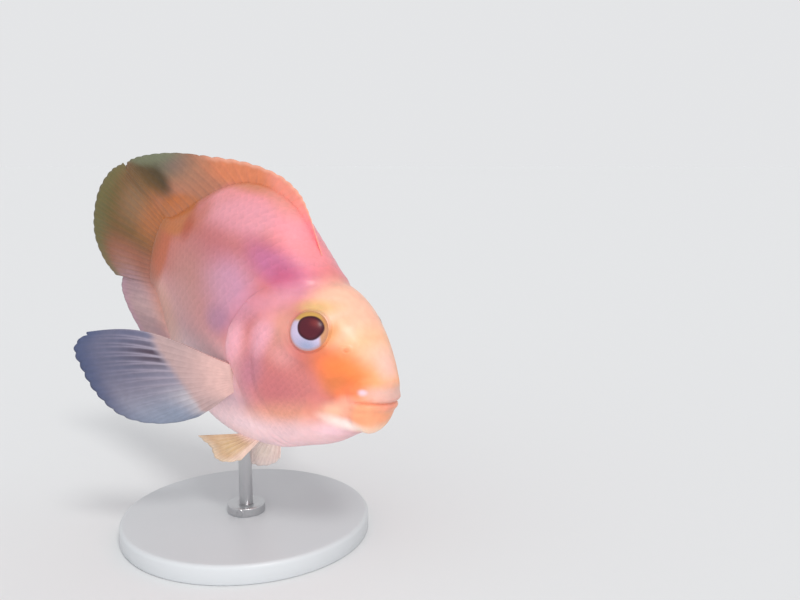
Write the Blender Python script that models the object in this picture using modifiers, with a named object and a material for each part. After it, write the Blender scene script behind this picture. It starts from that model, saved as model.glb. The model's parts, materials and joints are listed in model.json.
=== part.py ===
"""Blood parrot cichlid: a life-size still model held on a plain display stand.

Metres, +Z up. The origin is the middle of the stand's underside and the fish heads along +X.
Fish sizes below are millimetres in the fish's own frame: x runs back from the snout tip, y is to the
fish's left and z is up from its axis. The pose empty turns and lifts that frame above the stand.
"""
import math

import bmesh
import bpy
from mathutils import Euler, Matrix, Vector

MM = 0.001
GAP = 0.3                      # clear space between neighbouring solids

# ---- driving dimensions of the fish (mm) ----
STANDARD_LENGTH = 131.0        # snout tip to the end of the scaled tail stalk
MIDDLE = STANDARD_LENGTH / 2   # the fish frame's origin lies this far behind the snout

# Side and top view of the body: (distance behind the snout, size)
BACK = ((0, -0.5), (2.5, 3.0), (6, 7.2), (12, 13.6), (20, 19.8), (27, 23.2), (32.5, 24.8), (40, 29.4),
        (48, 35.3), (58, 42.2), (70, 46.0), (83, 46.2), (96, 42.0), (108, 34.0), (118, 26.0),
        (125, 21.5), (131, 20.5))
BELLY = ((0, -11), (3, -17.2), (6.5, -18.8), (9, -20.6), (16, -26.8), (27, -33.2), (38, -39),
         (50, -42.6), (64, -44.4), (78, -43), (90, -38.5), (102, -31), (112, -22), (120, -13.5),
         (126, -9.5), (131, -8.5))
HALF_WIDTH = ((0, 5.4), (2.5, 7.4), (6, 9.8), (12, 13.0), (20, 16.2), (27, 18.4), (33, 19.7), (42, 20.8),
              (56, 20.8), (70, 19.4), (84, 16.8), (97, 13.2), (108, 9.8), (118, 6.6), (125, 4.6),
              (131, 3.4))
WIDEST_HEIGHT = ((0, -5.5), (12, -3.5), (27, -1), (56, 0), (84, 2), (108, 5), (131, 6))
# Exponents of the section's sides: 1 is an ellipse, less is fuller, more is sharper
BACK_SHARPNESS = ((0, 0.9), (12, 0.95), (27, 0.98), (42, 1.12), (97, 1.1), (131, 1.0))
BELLY_SHARPNESS = ((0, 0.9), (20, 0.9), (42, 0.98), (70, 1.05), (97, 1.1), (131, 1.0))
SNOUT_ROUNDING = 3.2
TAIL_ROUNDING = 4.0

BEND_START = 70.0              # the rear body sweeps to the right behind this station
BEND_ANGLE = math.radians(4)
BEND_LENGTH = 97.0

# Gill slit: how far back it stands at mid height, and how far it runs forward at the nape and throat
GILL_SLIT_SIDE = 57.0
GILL_SLIT_NAPE_RUN = 24.5
GILL_SLIT_THROAT_RUN = 20.0
GILL_COVER_SWELL = 1.0         # the gill cover's rear edge stands this far out of the flank
TAIL_STALK_START = 100.0
HEAD_HEART = (46.0, 0.0, -2.0)  # the hidden rear face of the head tapers to this point inside the body
TRUNK_END = (TAIL_STALK_START, 0.0, 4.0)

EYE_STATION, EYE_HEIGHT = 26.8, 10.1
EYE_RADIUS, EYE_HALF_DEPTH = 7.2, 4.6
EYE_SINK = 2.1                 # the eye's widest circle lies this far under the skin

# Jaw and gill cover outlines, seen from the side: (distance behind the snout, height)
JAW_OUTLINE = ((-3, -5.2), (2, -6.0), (6.5, -7.4), (10, -12), (12.5, -19), (13, -32), (-3, -32))
GILL_COVER_OUTLINE = ((39, 7), (36, 2), (34.5, -6), (34.5, -15), (36, -24), (39, -31), (48, -34), (66, -34),
                      (66, 9), (46, 9))
GILL_COVER_INNER = 8.0         # the gill cover's inner face lies this far from the middle plane
BLOCK_REACH = 34.0             # jaw and gill cover blocks run this far out from the middle plane
CORNER_SPREAD = 1.15           # corners of a grown outline move out this much further than its sides

# Fins: where they grow, and the outline of the upper or outer edge
DORSAL_BASE = (43.0, 124.0)
DORSAL_EDGE = ((42.5, 32), (51, 43), (60, 48), (74, 51.6), (92, 51.8), (112, 49.2), (132, 45.6),
               (147, 41), (155, 36.4), (154.5, 32.2))
ANAL_BASE = (80.0, 124.5)
ANAL_EDGE = ((80, -43.5), (88, -47.5), (100, -43.8), (114, -36.5), (130, -28.2), (141, -21.5),
             (146.5, -16.8), (146, -12.9))
TAIL_BASE = (127.0, 19.8, -7.8)
TAIL_EDGE = ((162.5, 34), (169.5, 28.6), (173.5, 19.5), (172.5, 9), (168, 0), (159.5, -7.5), (151, -11.8))
FIN_ROOT_SINK = 2.0
FIN_ROOT_THICKNESS, FIN_EDGE_THICKNESS = 2.0, 0.6

# Rays of the paired fins, from the first: (share of the root, elevation in degrees, length)
PECTORAL_ROOT = ((55.0, -12.5), (53.5, -23.0))
PECTORAL_RAYS = ((0, 1.0, 48.5), (0.12, -3.5, 52.0), (0.3, -11.0, 49.5), (0.5, -21.0, 45.0),
                 (0.7, -31.5, 37.5), (0.87, -41.0, 26.0), (1, -50.0, 14.0))
PECTORAL_OUT = 45.0            # how far the fin stands off the flank, degrees
PECTORAL_CAMBER = 3.0          # the rays curve sideways by this much
PECTORAL_ARCH = 5.5            # and the uppermost ray arches up by this much

PELVIC_ROOT = ((46.5, -39.2), (55.0, -41.0))
PELVIC_SIDE = 5.0
PELVIC_SPLAY = 16.0
PELVIC_RAYS = {"right": ((0, -67, 11.0), (0.15, -60, 14.3), (0.4, -49, 18.6), (0.72, -36, 18.2),
                         (1, -24, 19.8)),
               "left": ((0, -86, 10.5), (0.45, -65, 21.5), (1, -51, 24.0))}

# ---- stand (mm) ----
BASE_RADIUS, BASE_THICKNESS, BASE_BEVEL = 46.0, 7.0, 1.6
ROD_RADIUS = 2.5
ROD_SOCKET = 4.0               # the rod goes this far into the base
ROD_IN_BELLY = 8.0
COLLAR_RADIUS, COLLAR_HEIGHT = 7.0, 3.0
BELLY_ABOVE_FLOOR = 37.0
CUT_PAST = 5.0                 # a bore's cutter reaches this far past the face it opens

# ---- pose of the fish over the stand ----
NOSE_DOWN = math.radians(13.7)
LEFT_SIDE_DOWN = math.radians(6.4)
ROD_STATION = 60.0             # the rod holds the belly's keel this far behind the snout

# ---- mesh fineness ----
ROUND = 36                     # points round a body section
HEAD_ROWS, TRUNK_ROWS, STALK_ROWS = 15, 12, 9
FIN_STEPS = 4


def smooth_value(profile, x):
    """Height of the smooth curve through a profile's (x, value) points."""
    last = len(profile) - 1
    x = min(max(x, profile[0][0]), profile[last][0])
    index = 0
    while index < last - 1 and x > profile[index + 1][0]:
        index += 1

    def slope(k):
        step = [(profile[i + 1][1] - profile[i][1]) / (profile[i + 1][0] - profile[i][0])
                for i in (max(k - 1, 0), min(k, last - 1))]
        if k in (0, last):
            return step[0] if k else step[1]
        before = profile[k][0] - profile[k - 1][0]
        after = profile[k + 1][0] - profile[k][0]
        return (step[0] * after + step[1] * before) / (before + after)

    (x0, v0), (x1, v1) = profile[index], profile[index + 1]
    width = x1 - x0
    t = (x - x0) / width
    return ((2 * t**3 - 3 * t**2 + 1) * v0 + (t**3 - 2 * t**2 + t) * width * slope(index)
            + (3 * t**2 - 2 * t**3) * v1 + (t**3 - t**2) * width * slope(index + 1))


def curve_points(outline, count):
    """Evenly numbered points on a smooth curve through the outline's points."""
    last = len(outline) - 1
    along = [[(k, point[axis]) for k, point in enumerate(outline)] for axis in (0, 1)]
    return [tuple(smooth_value(line, last * k / (count - 1)) for line in along) for k in range(count)]


def end_rounding(x):
    """1 along the body, falling to 0 at the blunt round snout and tail ends."""
    front = min(x / SNOUT_ROUNDING, 1)
    rear = min((STANDARD_LENGTH - x) / TAIL_ROUNDING, 1)
    return math.sqrt(max(1 - (1 - front)**2, 0)) * math.sqrt(max(1 - (1 - rear)**2, 0))


def fish(x, y, z):
    """A fish-frame point in metres, swept sideways behind the start of the bend."""
    forward = MIDDLE - x
    beyond = max(x - BEND_START, 0.0)
    turn = BEND_ANGLE * beyond / BEND_LENGTH
    if beyond > 0:
        radius = BEND_LENGTH / BEND_ANGLE
        forward = MIDDLE - BEND_START - radius * math.sin(turn) - y * math.sin(turn)
        y = -radius * (1 - math.cos(turn)) + y * math.cos(turn)
    return Vector((forward, y, z)) * MM


def body_point(x, turn, grow=0.0):
    """Skin point at station x; turn runs from 0 at the back through pi/2 on the right side."""
    rounding = end_rounding(x)
    middle = smooth_value(WIDEST_HEIGHT, x)
    up, side = math.cos(turn), math.sin(turn)
    edge = smooth_value(BACK if up > 0 else BELLY, x)
    sharpness = smooth_value(BACK_SHARPNESS if up > 0 else BELLY_SHARPNESS, x)
    height = abs(edge - middle) * rounding + grow
    half = smooth_value(HALF_WIDTH, x) * rounding + grow
    return x, -math.copysign(half * abs(side)**sharpness, side), middle + height * up


def gill_slit(turn):
    """Station of the gill slit round the body: far back at the sides, forward at nape and throat."""
    up = math.cos(turn)
    run = GILL_SLIT_NAPE_RUN * up**1.5 if up > 0 else -GILL_SLIT_THROAT_RUN * up
    return GILL_SLIT_SIDE - run


def cover_swell(share, turn):
    """How far the head's skin rises towards the rear edge of the gill cover."""
    return GILL_COVER_SWELL * max(share - 0.6, 0) / 0.4 * abs(math.sin(turn))**3


def body_rows(grow=0.0):
    """Rows of skin points for the head, the trunk and the tail stalk."""
    turns = [2 * math.pi * k / ROUND for k in range(ROUND)]
    head, trunk, stalk = [], [], []
    for k in range(HEAD_ROWS):
        share = ((k + 1) / HEAD_ROWS)**1.35
        head.append([body_point(share * gill_slit(t), t, grow + cover_swell(share, t)) for t in turns])
    for k in range(TRUNK_ROWS + 1):
        share = k / TRUNK_ROWS
        starts = [gill_slit(t) + GAP for t in turns]
        trunk.append([body_point(s + (TAIL_STALK_START - s) * share, t, grow)
                      for s, t in zip(starts, turns)])
    for k in range(STALK_ROWS):
        share = math.sin(math.pi / 2 * k / STALK_ROWS)
        x = TAIL_STALK_START + GAP + (STANDARD_LENGTH - TAIL_STALK_START - GAP) * share
        stalk.append([body_point(x, t, grow) for t in turns])
    return head, trunk, stalk


def loft(rows, first, last):
    """A closed solid over rows of points, with a middle point closing each end."""
    mesh = bmesh.new()
    rings = [[mesh.verts.new(fish(*point)) for point in row] for row in rows]
    count = len(rings[0])
    for ring, following in zip(rings, rings[1:]):
        for k in range(count):
            mesh.faces.new((ring[k], ring[(k + 1) % count], following[(k + 1) % count], following[k]))
    for ring, tip in ((rings[0], first), (rings[-1], last)):
        end = mesh.verts.new(fish(*tip))
        for k in range(count):
            mesh.faces.new((ring[k], ring[(k + 1) % count], end))
    bmesh.ops.recalc_face_normals(mesh, faces=mesh.faces)
    return mesh


def sheet_solid(root, edge, across, steps=FIN_STEPS, bulge=None):
    """A fin blade: rays from root points to edge points, thick at the root and thin at the edge.

    bulge gives each place's shift off the straight ray, from its shares across the fin and along the ray.
    """
    mesh = bmesh.new()
    count = len(root)
    sides = []
    for sign in (1, -1):
        grid = []
        for k in range(count):
            ray = []
            for step in range(steps + 1):
                share = step / steps
                point = Vector(root[k]).lerp(Vector(edge[k]), share)
                if bulge:
                    point += bulge(k / (count - 1), share)
                thickness = FIN_ROOT_THICKNESS + (FIN_EDGE_THICKNESS - FIN_ROOT_THICKNESS) * share**0.7
                ray.append(mesh.verts.new(fish(*(point + Vector(across) * sign * thickness / 2))))
            grid.append(ray)
        sides.append(grid)
    near, far = sides
    for k in range(count - 1):
        for step in range(steps):
            for grid in sides:
                mesh.faces.new((grid[k][step], grid[k + 1][step], grid[k + 1][step + 1], grid[k][step + 1]))
        for step in (0, steps):
            mesh.faces.new((near[k][step], near[k + 1][step], far[k + 1][step], far[k][step]))
    for k in (0, count - 1):
        for step in range(steps):
            mesh.faces.new((near[k][step], near[k][step + 1], far[k][step + 1], far[k][step]))
    bmesh.ops.recalc_face_normals(mesh, faces=mesh.faces)
    return mesh


def prism(outline, y_from, y_to, inflate=0.0):
    """A side-view outline drawn out sideways, grown all round by inflate."""
    middle = [sum(point[axis] for point in outline) / len(outline) for axis in (0, 1)]
    mesh = bmesh.new()
    grown = []
    count = len(outline)
    for k in range(count):
        before, here, after = (Vector(outline[(k + step) % count]) for step in (-1, 0, 1))
        normal = Vector((after.y - before.y, before.x - after.x)).normalized()
        if normal.dot(here - Vector(middle)) < 0:
            normal = -normal
        grown.append(here + normal * inflate * CORNER_SPREAD)
    low, high = min(y_from, y_to) - inflate, max(y_from, y_to) + inflate
    face = mesh.faces.new([mesh.verts.new(fish(point.x, low, point.y)) for point in grown])
    sweep = bmesh.ops.extrude_face_region(mesh, geom=[face])["geom"]
    moved = [item for item in sweep if isinstance(item, bmesh.types.BMVert)]
    bmesh.ops.translate(mesh, verts=moved, vec=Vector((0, high - low, 0)) * MM)
    bmesh.ops.recalc_face_normals(mesh, faces=mesh.faces)
    return mesh


def round_bar(radius, low, high, sides=20):
    """An upright cylinder between two heights on the stand's axis (mm)."""
    mesh = bmesh.new()
    place = Matrix.Translation(Vector((0, 0, (low + high) / 2)) * MM)
    bmesh.ops.create_cone(mesh, cap_ends=True, segments=sides, radius1=radius * MM, radius2=radius * MM,
                          depth=(high - low) * MM, matrix=place)
    return mesh


def surface_frame(x, height, side):
    """Skin point at a station and height on one side, with the outward direction there."""
    def point(station, level):
        middle = smooth_value(WIDEST_HEIGHT, station)
        edge = smooth_value(BACK if level > middle else BELLY, station)
        turn = math.acos(max(-1, min(1, (level - middle) / abs(edge - middle))))
        _, y, z = body_point(station, turn)
        return Vector((MIDDLE - station, side * abs(y), z))

    step = 0.5
    along = point(x - step, height) - point(x + step, height)
    upward = point(x, height + step) - point(x, height - step)
    normal = along.cross(upward).normalized()
    if normal.y * side < 0:
        normal = -normal
    return point(x, height), normal


def eye_ball(side, inflate=0.0):
    """The flattened eyeball, set square to the skin of the head and sunk into it."""
    place, outward = surface_frame(EYE_STATION, EYE_HEIGHT, side)
    mesh = bmesh.new()
    bmesh.ops.create_uvsphere(mesh, u_segments=22, v_segments=11, radius=1.0)
    bmesh.ops.scale(mesh, verts=mesh.verts,
                    vec=Vector((EYE_RADIUS + inflate, EYE_RADIUS + inflate, EYE_HALF_DEPTH + inflate)) * MM)
    turn = Vector((0, 0, 1)).rotation_difference(outward).to_matrix().to_4x4()
    centre = (place - outward * EYE_SINK) * MM
    bmesh.ops.transform(mesh, verts=mesh.verts, matrix=Matrix.Translation(centre) @ turn)
    return mesh


# ---- scene set-up ----
for old in list(bpy.data.objects):
    bpy.data.objects.remove(old)

parts = bpy.data.collections.new("blood_parrot_cichlid")
cutters = bpy.data.collections.new("cutters")
bpy.context.scene.collection.children.link(parts)
bpy.context.scene.collection.children.link(cutters)

pose = bpy.data.objects.new("fish_pose", None)
pose.rotation_euler = Euler((-LEFT_SIDE_DOWN, NOSE_DOWN, 0))
keel = Vector((MIDDLE - ROD_STATION, 0, smooth_value(BELLY, ROD_STATION)))
pose.location = (Vector((0, 0, BELLY_ABOVE_FLOOR)) - pose.rotation_euler.to_matrix() @ keel) * MM
parts.objects.link(pose)


def material(name, colour, roughness, metallic=0.0):
    made = bpy.data.materials.new(name)
    made.use_nodes = True
    shader = made.node_tree.nodes["Principled BSDF"]
    shader.inputs["Base Color"].default_value = (*colour, 1)
    shader.inputs["Roughness"].default_value = roughness
    shader.inputs["Metallic"].default_value = metallic
    return made


def add(name, mesh, finish, on_fish=True):
    """A named piece from a bmesh, smooth shaded, riding on the pose when it belongs to the fish."""
    data = bpy.data.meshes.new(name)
    mesh.to_mesh(data)
    mesh.free()
    data.shade_smooth()
    data.set_sharp_from_angle(angle=math.radians(35))
    data.materials.append(finish)
    piece = bpy.data.objects.new(name, data)
    parts.objects.link(piece)
    if on_fish:
        piece.parent = pose
    return piece


def cutter(name, mesh, on_fish=True):
    data = bpy.data.meshes.new(name)
    mesh.to_mesh(data)
    mesh.free()
    piece = bpy.data.objects.new(name, data)
    piece.hide_render = True
    piece.display_type = "WIRE"
    cutters.objects.link(piece)
    if on_fish:
        piece.parent = pose
    return piece


def cut(piece, tool, operation="DIFFERENCE"):
    change = piece.modifiers.new(tool.name, "BOOLEAN")
    change.operation = operation
    change.object = tool
    change.solver = "EXACT"


# ---- the body: head, jaw, gill covers, trunk and tail stalk ----
SIDES = {"left": 1, "right": -1}
head_rows, trunk_rows, stalk_rows = body_rows()
snout_tip = (0.0, 0.0, smooth_value(WIDEST_HEIGHT, 0))
tail_tip = (STANDARD_LENGTH, 0.0, smooth_value(WIDEST_HEIGHT, STANDARD_LENGTH))

head_skin = material("cream_orange_head_skin", (0.96, 0.55, 0.33), 0.4)
jaw_skin = material("orange_jaw_skin", (0.98, 0.42, 0.16), 0.4)
cheek_skin = material("pink_gill_skin", (0.93, 0.42, 0.40), 0.4)
flank_skin = material("pink_flank_scales", (0.88, 0.42, 0.45), 0.38)
tail_skin = material("orange_brown_tail_skin", (0.62, 0.26, 0.10), 0.45)

head = add("head", loft(head_rows, snout_tip, HEAD_HEART), head_skin)
jaw = add("lower_jaw", loft(head_rows, snout_tip, HEAD_HEART), jaw_skin)
cut(jaw, cutter("jaw_block", prism(JAW_OUTLINE, -BLOCK_REACH, BLOCK_REACH)), "INTERSECT")
cut(head, cutter("jaw_clear", prism(JAW_OUTLINE, -BLOCK_REACH, BLOCK_REACH, GAP)))
for name, side in SIDES.items():
    inner, outer = side * GILL_COVER_INNER, side * BLOCK_REACH
    cover = add(f"gill_cover_{name}", loft(head_rows, snout_tip, HEAD_HEART), cheek_skin)
    cut(cover, cutter(f"gill_block_{name}", prism(GILL_COVER_OUTLINE, inner, outer)), "INTERSECT")
    cut(head, cutter(f"gill_clear_{name}", prism(GILL_COVER_OUTLINE, inner, outer, GAP)))
    cut(head, cutter(f"eye_socket_{name}", eye_ball(side, GAP)))

trunk_heart = (HEAD_HEART[0] + GAP, *HEAD_HEART[1:])
trunk = add("trunk", loft(trunk_rows, trunk_heart, TRUNK_END), flank_skin)
stalk_heart = (TRUNK_END[0] + GAP, *TRUNK_END[1:])
add("tail_stalk", loft(stalk_rows, stalk_heart, tail_tip), tail_skin)

# ---- eyes ----
eye_finish = material("maroon_and_silver_eye", (0.16, 0.03, 0.04), 0.08)
for name, side in SIDES.items():
    add(f"eye_{name}", eye_ball(side), eye_finish)

# ---- fins on the middle line ----
clear_rows = body_rows(GAP)
body_clear = cutter("body_clear", loft([row for group in clear_rows for row in group], snout_tip, tail_tip))
back_fin_skin = material("orange_back_fin", (0.80, 0.38, 0.24), 0.45)
belly_fin_skin = material("lavender_pink_fin", (0.78, 0.55, 0.52), 0.45)
pale_fin_skin = material("translucent_grey_lavender_fin", (0.70, 0.68, 0.74), 0.4)


def middle_fin(name, base, edge, profile, sink, finish, rays):
    xs = [base[0] + (base[1] - base[0]) * k / (rays - 1) for k in range(rays)]
    root = [(x, 0, smooth_value(profile, x) + sink) for x in xs]
    tips = [(x, 0, z) for x, z in curve_points(edge, rays)]
    fin = add(name, sheet_solid(root, tips, (0, 1, 0)), finish)
    cut(fin, body_clear)


middle_fin("dorsal_fin", DORSAL_BASE, DORSAL_EDGE, BACK, -FIN_ROOT_SINK, back_fin_skin, 27)
middle_fin("anal_fin", ANAL_BASE, ANAL_EDGE, BELLY, FIN_ROOT_SINK, belly_fin_skin, 17)

tail_rays = 17
tail_root = [(TAIL_BASE[0], 0, TAIL_BASE[1] + (TAIL_BASE[2] - TAIL_BASE[1]) * k / (tail_rays - 1))
             for k in range(tail_rays)]
tail_tips = [(x, 0, z) for x, z in curve_points(TAIL_EDGE, tail_rays)]
tail_fin = add("tail_fin", sheet_solid(tail_root, tail_tips, (0, 1, 0), steps=6), tail_skin)
cut(tail_fin, body_clear)


# ---- paired fins ----
def ray_profiles(rays):
    """Elevation and length of a fin's rays, each as a profile over the share of its root."""
    return [(share, rise) for share, rise, _ in rays], [(share, length) for share, _, length in rays]


def pectoral_fin(name, side, rays=15):
    """An open fan on the flank just behind the gill cover."""
    rises, lengths = ray_profiles(PECTORAL_RAYS)
    out = math.radians(PECTORAL_OUT)
    root, tips = [], []
    for k in range(rays):
        share = k / (rays - 1)
        x, z = (a + (b - a) * share for a, b in zip(*PECTORAL_ROOT))
        place, _ = surface_frame(x, z, side)
        rise = math.radians(smooth_value(rises, share))
        ray = Vector((math.cos(rise) * math.cos(out), side * math.cos(rise) * math.sin(out), math.sin(rise)))
        start = Vector((x, place.y, z))
        root.append(start - ray * FIN_ROOT_SINK)
        tips.append(start + ray * smooth_value(lengths, share))
    across = Vector((-math.sin(out), side * math.cos(out), 0))

    def curve(u, v):
        camber = PECTORAL_CAMBER * math.sin(math.pi * v) * (1 - 0.5 * u)
        arch = PECTORAL_ARCH * math.sin(math.pi * v**1.3) * (1 - u)**1.5
        return across * camber + Vector((0, 0, arch))

    fin = add(name, sheet_solid(root, tips, across, steps=6, bulge=curve), pale_fin_skin)
    cut(fin, body_clear)


def pelvic_fin(name, side, rays=11):
    """A folded fin under the breast, its first ray a short stiff spine."""
    rises, lengths = ray_profiles(PELVIC_RAYS[name])
    splay = math.radians(PELVIC_SPLAY)
    root, tips = [], []
    for k in range(rays):
        share = k / (rays - 1)
        x, z = (a + (b - a) * share for a, b in zip(*PELVIC_ROOT))
        rise = math.radians(smooth_value(rises, share))
        ray = Vector((math.cos(rise), side * math.sin(splay), math.sin(rise))).normalized()
        start = Vector((x, side * PELVIC_SIDE, z))
        root.append(start - ray * FIN_ROOT_SINK)
        tips.append(start + ray * smooth_value(lengths, share))
    across = Vector((-math.sin(splay), side * math.cos(splay), 0))
    fin = add(f"pelvic_fin_{name}", sheet_solid(root, tips, across), belly_fin_skin)
    cut(fin, body_clear)


for name, side in SIDES.items():
    pectoral_fin(f"pectoral_fin_{name}", side)
    pelvic_fin(name, side)

# ---- stand ----
base_finish = material("satin_light_grey_acrylic", (0.55, 0.56, 0.57), 0.35)
steel = material("brushed_stainless_rod", (0.55, 0.55, 0.56), 0.3, 1.0)
rod_foot, rod_top = BASE_THICKNESS - ROD_SOCKET, BELLY_ABOVE_FLOOR + ROD_IN_BELLY

base = add("stand_base", round_bar(BASE_RADIUS, 0, BASE_THICKNESS, 56), base_finish, on_fish=False)
edge = base.modifiers.new("eased_edge", "BEVEL")
edge.width = BASE_BEVEL * MM
edge.segments = 2
edge.limit_method = "ANGLE"
edge.angle_limit = math.radians(60)
socket = cutter("base_socket", round_bar(ROD_RADIUS + GAP, rod_foot - GAP, BASE_THICKNESS + CUT_PAST), False)
cut(base, socket)

add("stand_rod", round_bar(ROD_RADIUS, rod_foot, rod_top), steel, on_fish=False)
collar_low = BASE_THICKNESS + GAP
collar_top = collar_low + COLLAR_HEIGHT
collar = add("stand_collar", round_bar(COLLAR_RADIUS, collar_low, collar_top, 28), steel, on_fish=False)
bore = round_bar(ROD_RADIUS + GAP, collar_low - CUT_PAST, collar_top + CUT_PAST)
cut(collar, cutter("collar_bore", bore, False))
cut(trunk, cutter("belly_socket", round_bar(ROD_RADIUS + GAP, collar_top, rod_top + GAP), False))
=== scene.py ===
"""Finished look of the blood parrot cichlid model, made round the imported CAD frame.

Fish sizes are millimetres in the fish's own frame, as in the CAD: x runs back from the snout tip, y is to
the fish's left and z is up from its axis. put_in_place turns them into metres in the stand's frame.
"""
import json
import math

import bpy
import numpy as np
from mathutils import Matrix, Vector

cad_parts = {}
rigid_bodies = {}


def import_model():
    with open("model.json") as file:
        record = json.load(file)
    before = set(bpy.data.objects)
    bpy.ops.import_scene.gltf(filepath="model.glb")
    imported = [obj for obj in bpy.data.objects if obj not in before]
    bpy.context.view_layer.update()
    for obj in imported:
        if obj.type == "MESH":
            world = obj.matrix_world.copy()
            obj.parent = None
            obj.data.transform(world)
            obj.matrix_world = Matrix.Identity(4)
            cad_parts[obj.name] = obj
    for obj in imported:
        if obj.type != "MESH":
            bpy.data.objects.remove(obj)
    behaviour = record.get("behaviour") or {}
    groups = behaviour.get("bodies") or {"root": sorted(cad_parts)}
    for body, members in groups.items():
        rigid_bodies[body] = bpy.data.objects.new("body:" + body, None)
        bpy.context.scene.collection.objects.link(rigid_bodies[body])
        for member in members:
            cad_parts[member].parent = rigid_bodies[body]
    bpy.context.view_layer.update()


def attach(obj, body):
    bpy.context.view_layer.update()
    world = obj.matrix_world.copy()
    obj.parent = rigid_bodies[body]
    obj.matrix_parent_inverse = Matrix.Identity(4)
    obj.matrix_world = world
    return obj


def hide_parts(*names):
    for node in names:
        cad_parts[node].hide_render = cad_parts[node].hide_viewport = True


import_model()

# ---------------------------------------------------------------------------------------------------
# The body's form. The real fish has one tight hide from lips to tail fin; the cast model copies it as
# one shell. These are the CAD's side and top views, so the shell lies just inside the CAD solids.
MM = 0.001                           # metres in a millimetre
STANDARD_LENGTH = 131.0
MIDDLE = STANDARD_LENGTH / 2
BACK = ((0, -0.5), (2.5, 3.0), (6, 7.2), (12, 13.6), (20, 19.8), (27, 23.2), (32.5, 24.8), (40, 29.4),
        (48, 35.3), (58, 42.2), (70, 46.0), (83, 46.2), (96, 42.0), (108, 34.0), (118, 26.0),
        (125, 21.5), (131, 20.5))
BELLY = ((0, -11), (3, -17.2), (6.5, -18.8), (9, -20.6), (16, -26.8), (27, -33.2), (38, -39),
         (50, -42.6), (64, -44.4), (78, -43), (90, -38.5), (102, -31), (112, -22), (120, -13.5),
         (126, -9.5), (131, -8.5))
HALF_WIDTH = ((0, 5.4), (2.5, 7.4), (6, 9.8), (12, 13.0), (20, 16.2), (27, 18.4), (33, 19.7), (42, 20.8),
              (56, 20.8), (70, 19.4), (84, 16.8), (97, 13.2), (108, 9.8), (118, 6.6), (125, 4.6),
              (131, 3.4))
WIDEST_HEIGHT = ((0, -5.5), (12, -3.5), (27, -1), (56, 0), (84, 2), (108, 5), (131, 6))
BACK_SHARPNESS = ((0, 0.9), (12, 0.95), (27, 0.98), (42, 1.12), (97, 1.1), (131, 1.0))
BELLY_SHARPNESS = ((0, 0.9), (20, 0.9), (42, 0.98), (70, 1.05), (97, 1.1), (131, 1.0))
SNOUT_ROUNDING, TAIL_ROUNDING = 3.2, 4.0
BEND_START, BEND_ANGLE, BEND_LENGTH = 70.0, math.radians(4), 97.0
GILL_SLIT_SIDE, GILL_SLIT_NAPE_RUN, GILL_SLIT_THROAT_RUN = 57.0, 24.5, 20.0
GILL_FLAP_REACH, GILL_FLAP_PLACE, GILL_FLAP_SPREAD = 4.0, -0.2, 0.16
NOSE_DOWN, LEFT_SIDE_DOWN = math.radians(13.7), math.radians(6.4)
ROD_STATION, BELLY_ABOVE_FLOOR = 60.0, 37.0


def smooth_value(profile, x):
    """Height of the smooth curve through a profile's (x, value) points, for an array of x."""
    knots, values = np.array(profile, float).T
    gaps = np.diff(knots)
    steps = np.diff(values) / gaps
    slopes = np.concatenate([steps[:1], (steps[:-1] * gaps[1:] + steps[1:] * gaps[:-1])
                             / (gaps[1:] + gaps[:-1]), steps[-1:]])
    x = np.clip(x, knots[0], knots[-1])
    k = np.clip(np.searchsorted(knots, x, side="left") - 1, 0, len(gaps) - 1)
    t = (x - knots[k]) / gaps[k]
    return ((2 * t**3 - 3 * t**2 + 1) * values[k] + (t**3 - 2 * t**2 + t) * gaps[k] * slopes[k]
            + (3 * t**2 - 2 * t**3) * values[k + 1] + (t**3 - t**2) * gaps[k] * slopes[k + 1])


def ease(low, high, value):
    """0 below low, 1 above high, with a smooth rise between (low may be the larger)."""
    share = np.clip((value - low) / (high - low), 0, 1)
    return share * share * (3 - 2 * share)


def bump_at(distance, width):
    """1 on a line, falling away smoothly to nothing past about two widths."""
    return np.exp(-(distance / width)**2)


def end_rounding(x):
    """Share of its full size that the body has at a station, which rounds off both ends."""
    front = np.clip(x / SNOUT_ROUNDING, 0, 1)
    rear = np.clip((STANDARD_LENGTH - x) / TAIL_ROUNDING, 0, 1)
    return np.sqrt(1 - (1 - front)**2) * np.sqrt(1 - (1 - rear)**2)


def cross_section(x, above):
    """The end rounding, the widest height, and the edge above or below it with its sharpness."""
    edge, sharpness = (np.where(above, smooth_value(upper, x), smooth_value(lower, x))
                       for upper, lower in ((BACK, BELLY), (BACK_SHARPNESS, BELLY_SHARPNESS)))
    return end_rounding(x), smooth_value(WIDEST_HEIGHT, x), edge, sharpness


def body_point(x, turn):
    """Points of the body at station x; turn runs from 0 at the back through pi/2 on the right side."""
    up, side = np.cos(turn), np.sin(turn)
    rounding, middle, edge, sharpness = cross_section(x, up > 0)
    half = smooth_value(HALF_WIDTH, x) * rounding
    y = -np.copysign(half * np.abs(side)**sharpness, side)
    return np.stack([x + 0 * turn, y, middle + np.abs(edge - middle) * rounding * up], -1)


def half_width_at(x, z):
    """How far the flank stands from the middle plane at a station and height."""
    rounding, middle, edge, sharpness = cross_section(x, z > smooth_value(WIDEST_HEIGHT, x))
    up = np.clip(np.abs(z - middle) / np.maximum(np.abs(edge - middle) * rounding, 1e-6), 0, 1)
    return smooth_value(HALF_WIDTH, x) * rounding * np.sqrt(1 - up**2)**sharpness


def gill_slit(turn):
    """Station of the gill slit: far back at the sides, forward at nape and throat, with a soft flap tip."""
    up = np.cos(turn)
    run = GILL_SLIT_NAPE_RUN * np.maximum(up, 0)**1.5 + GILL_SLIT_THROAT_RUN * np.maximum(-up, 0)
    return GILL_SLIT_SIDE - run + GILL_FLAP_REACH * bump_at(up - GILL_FLAP_PLACE, GILL_FLAP_SPREAD)


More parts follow.
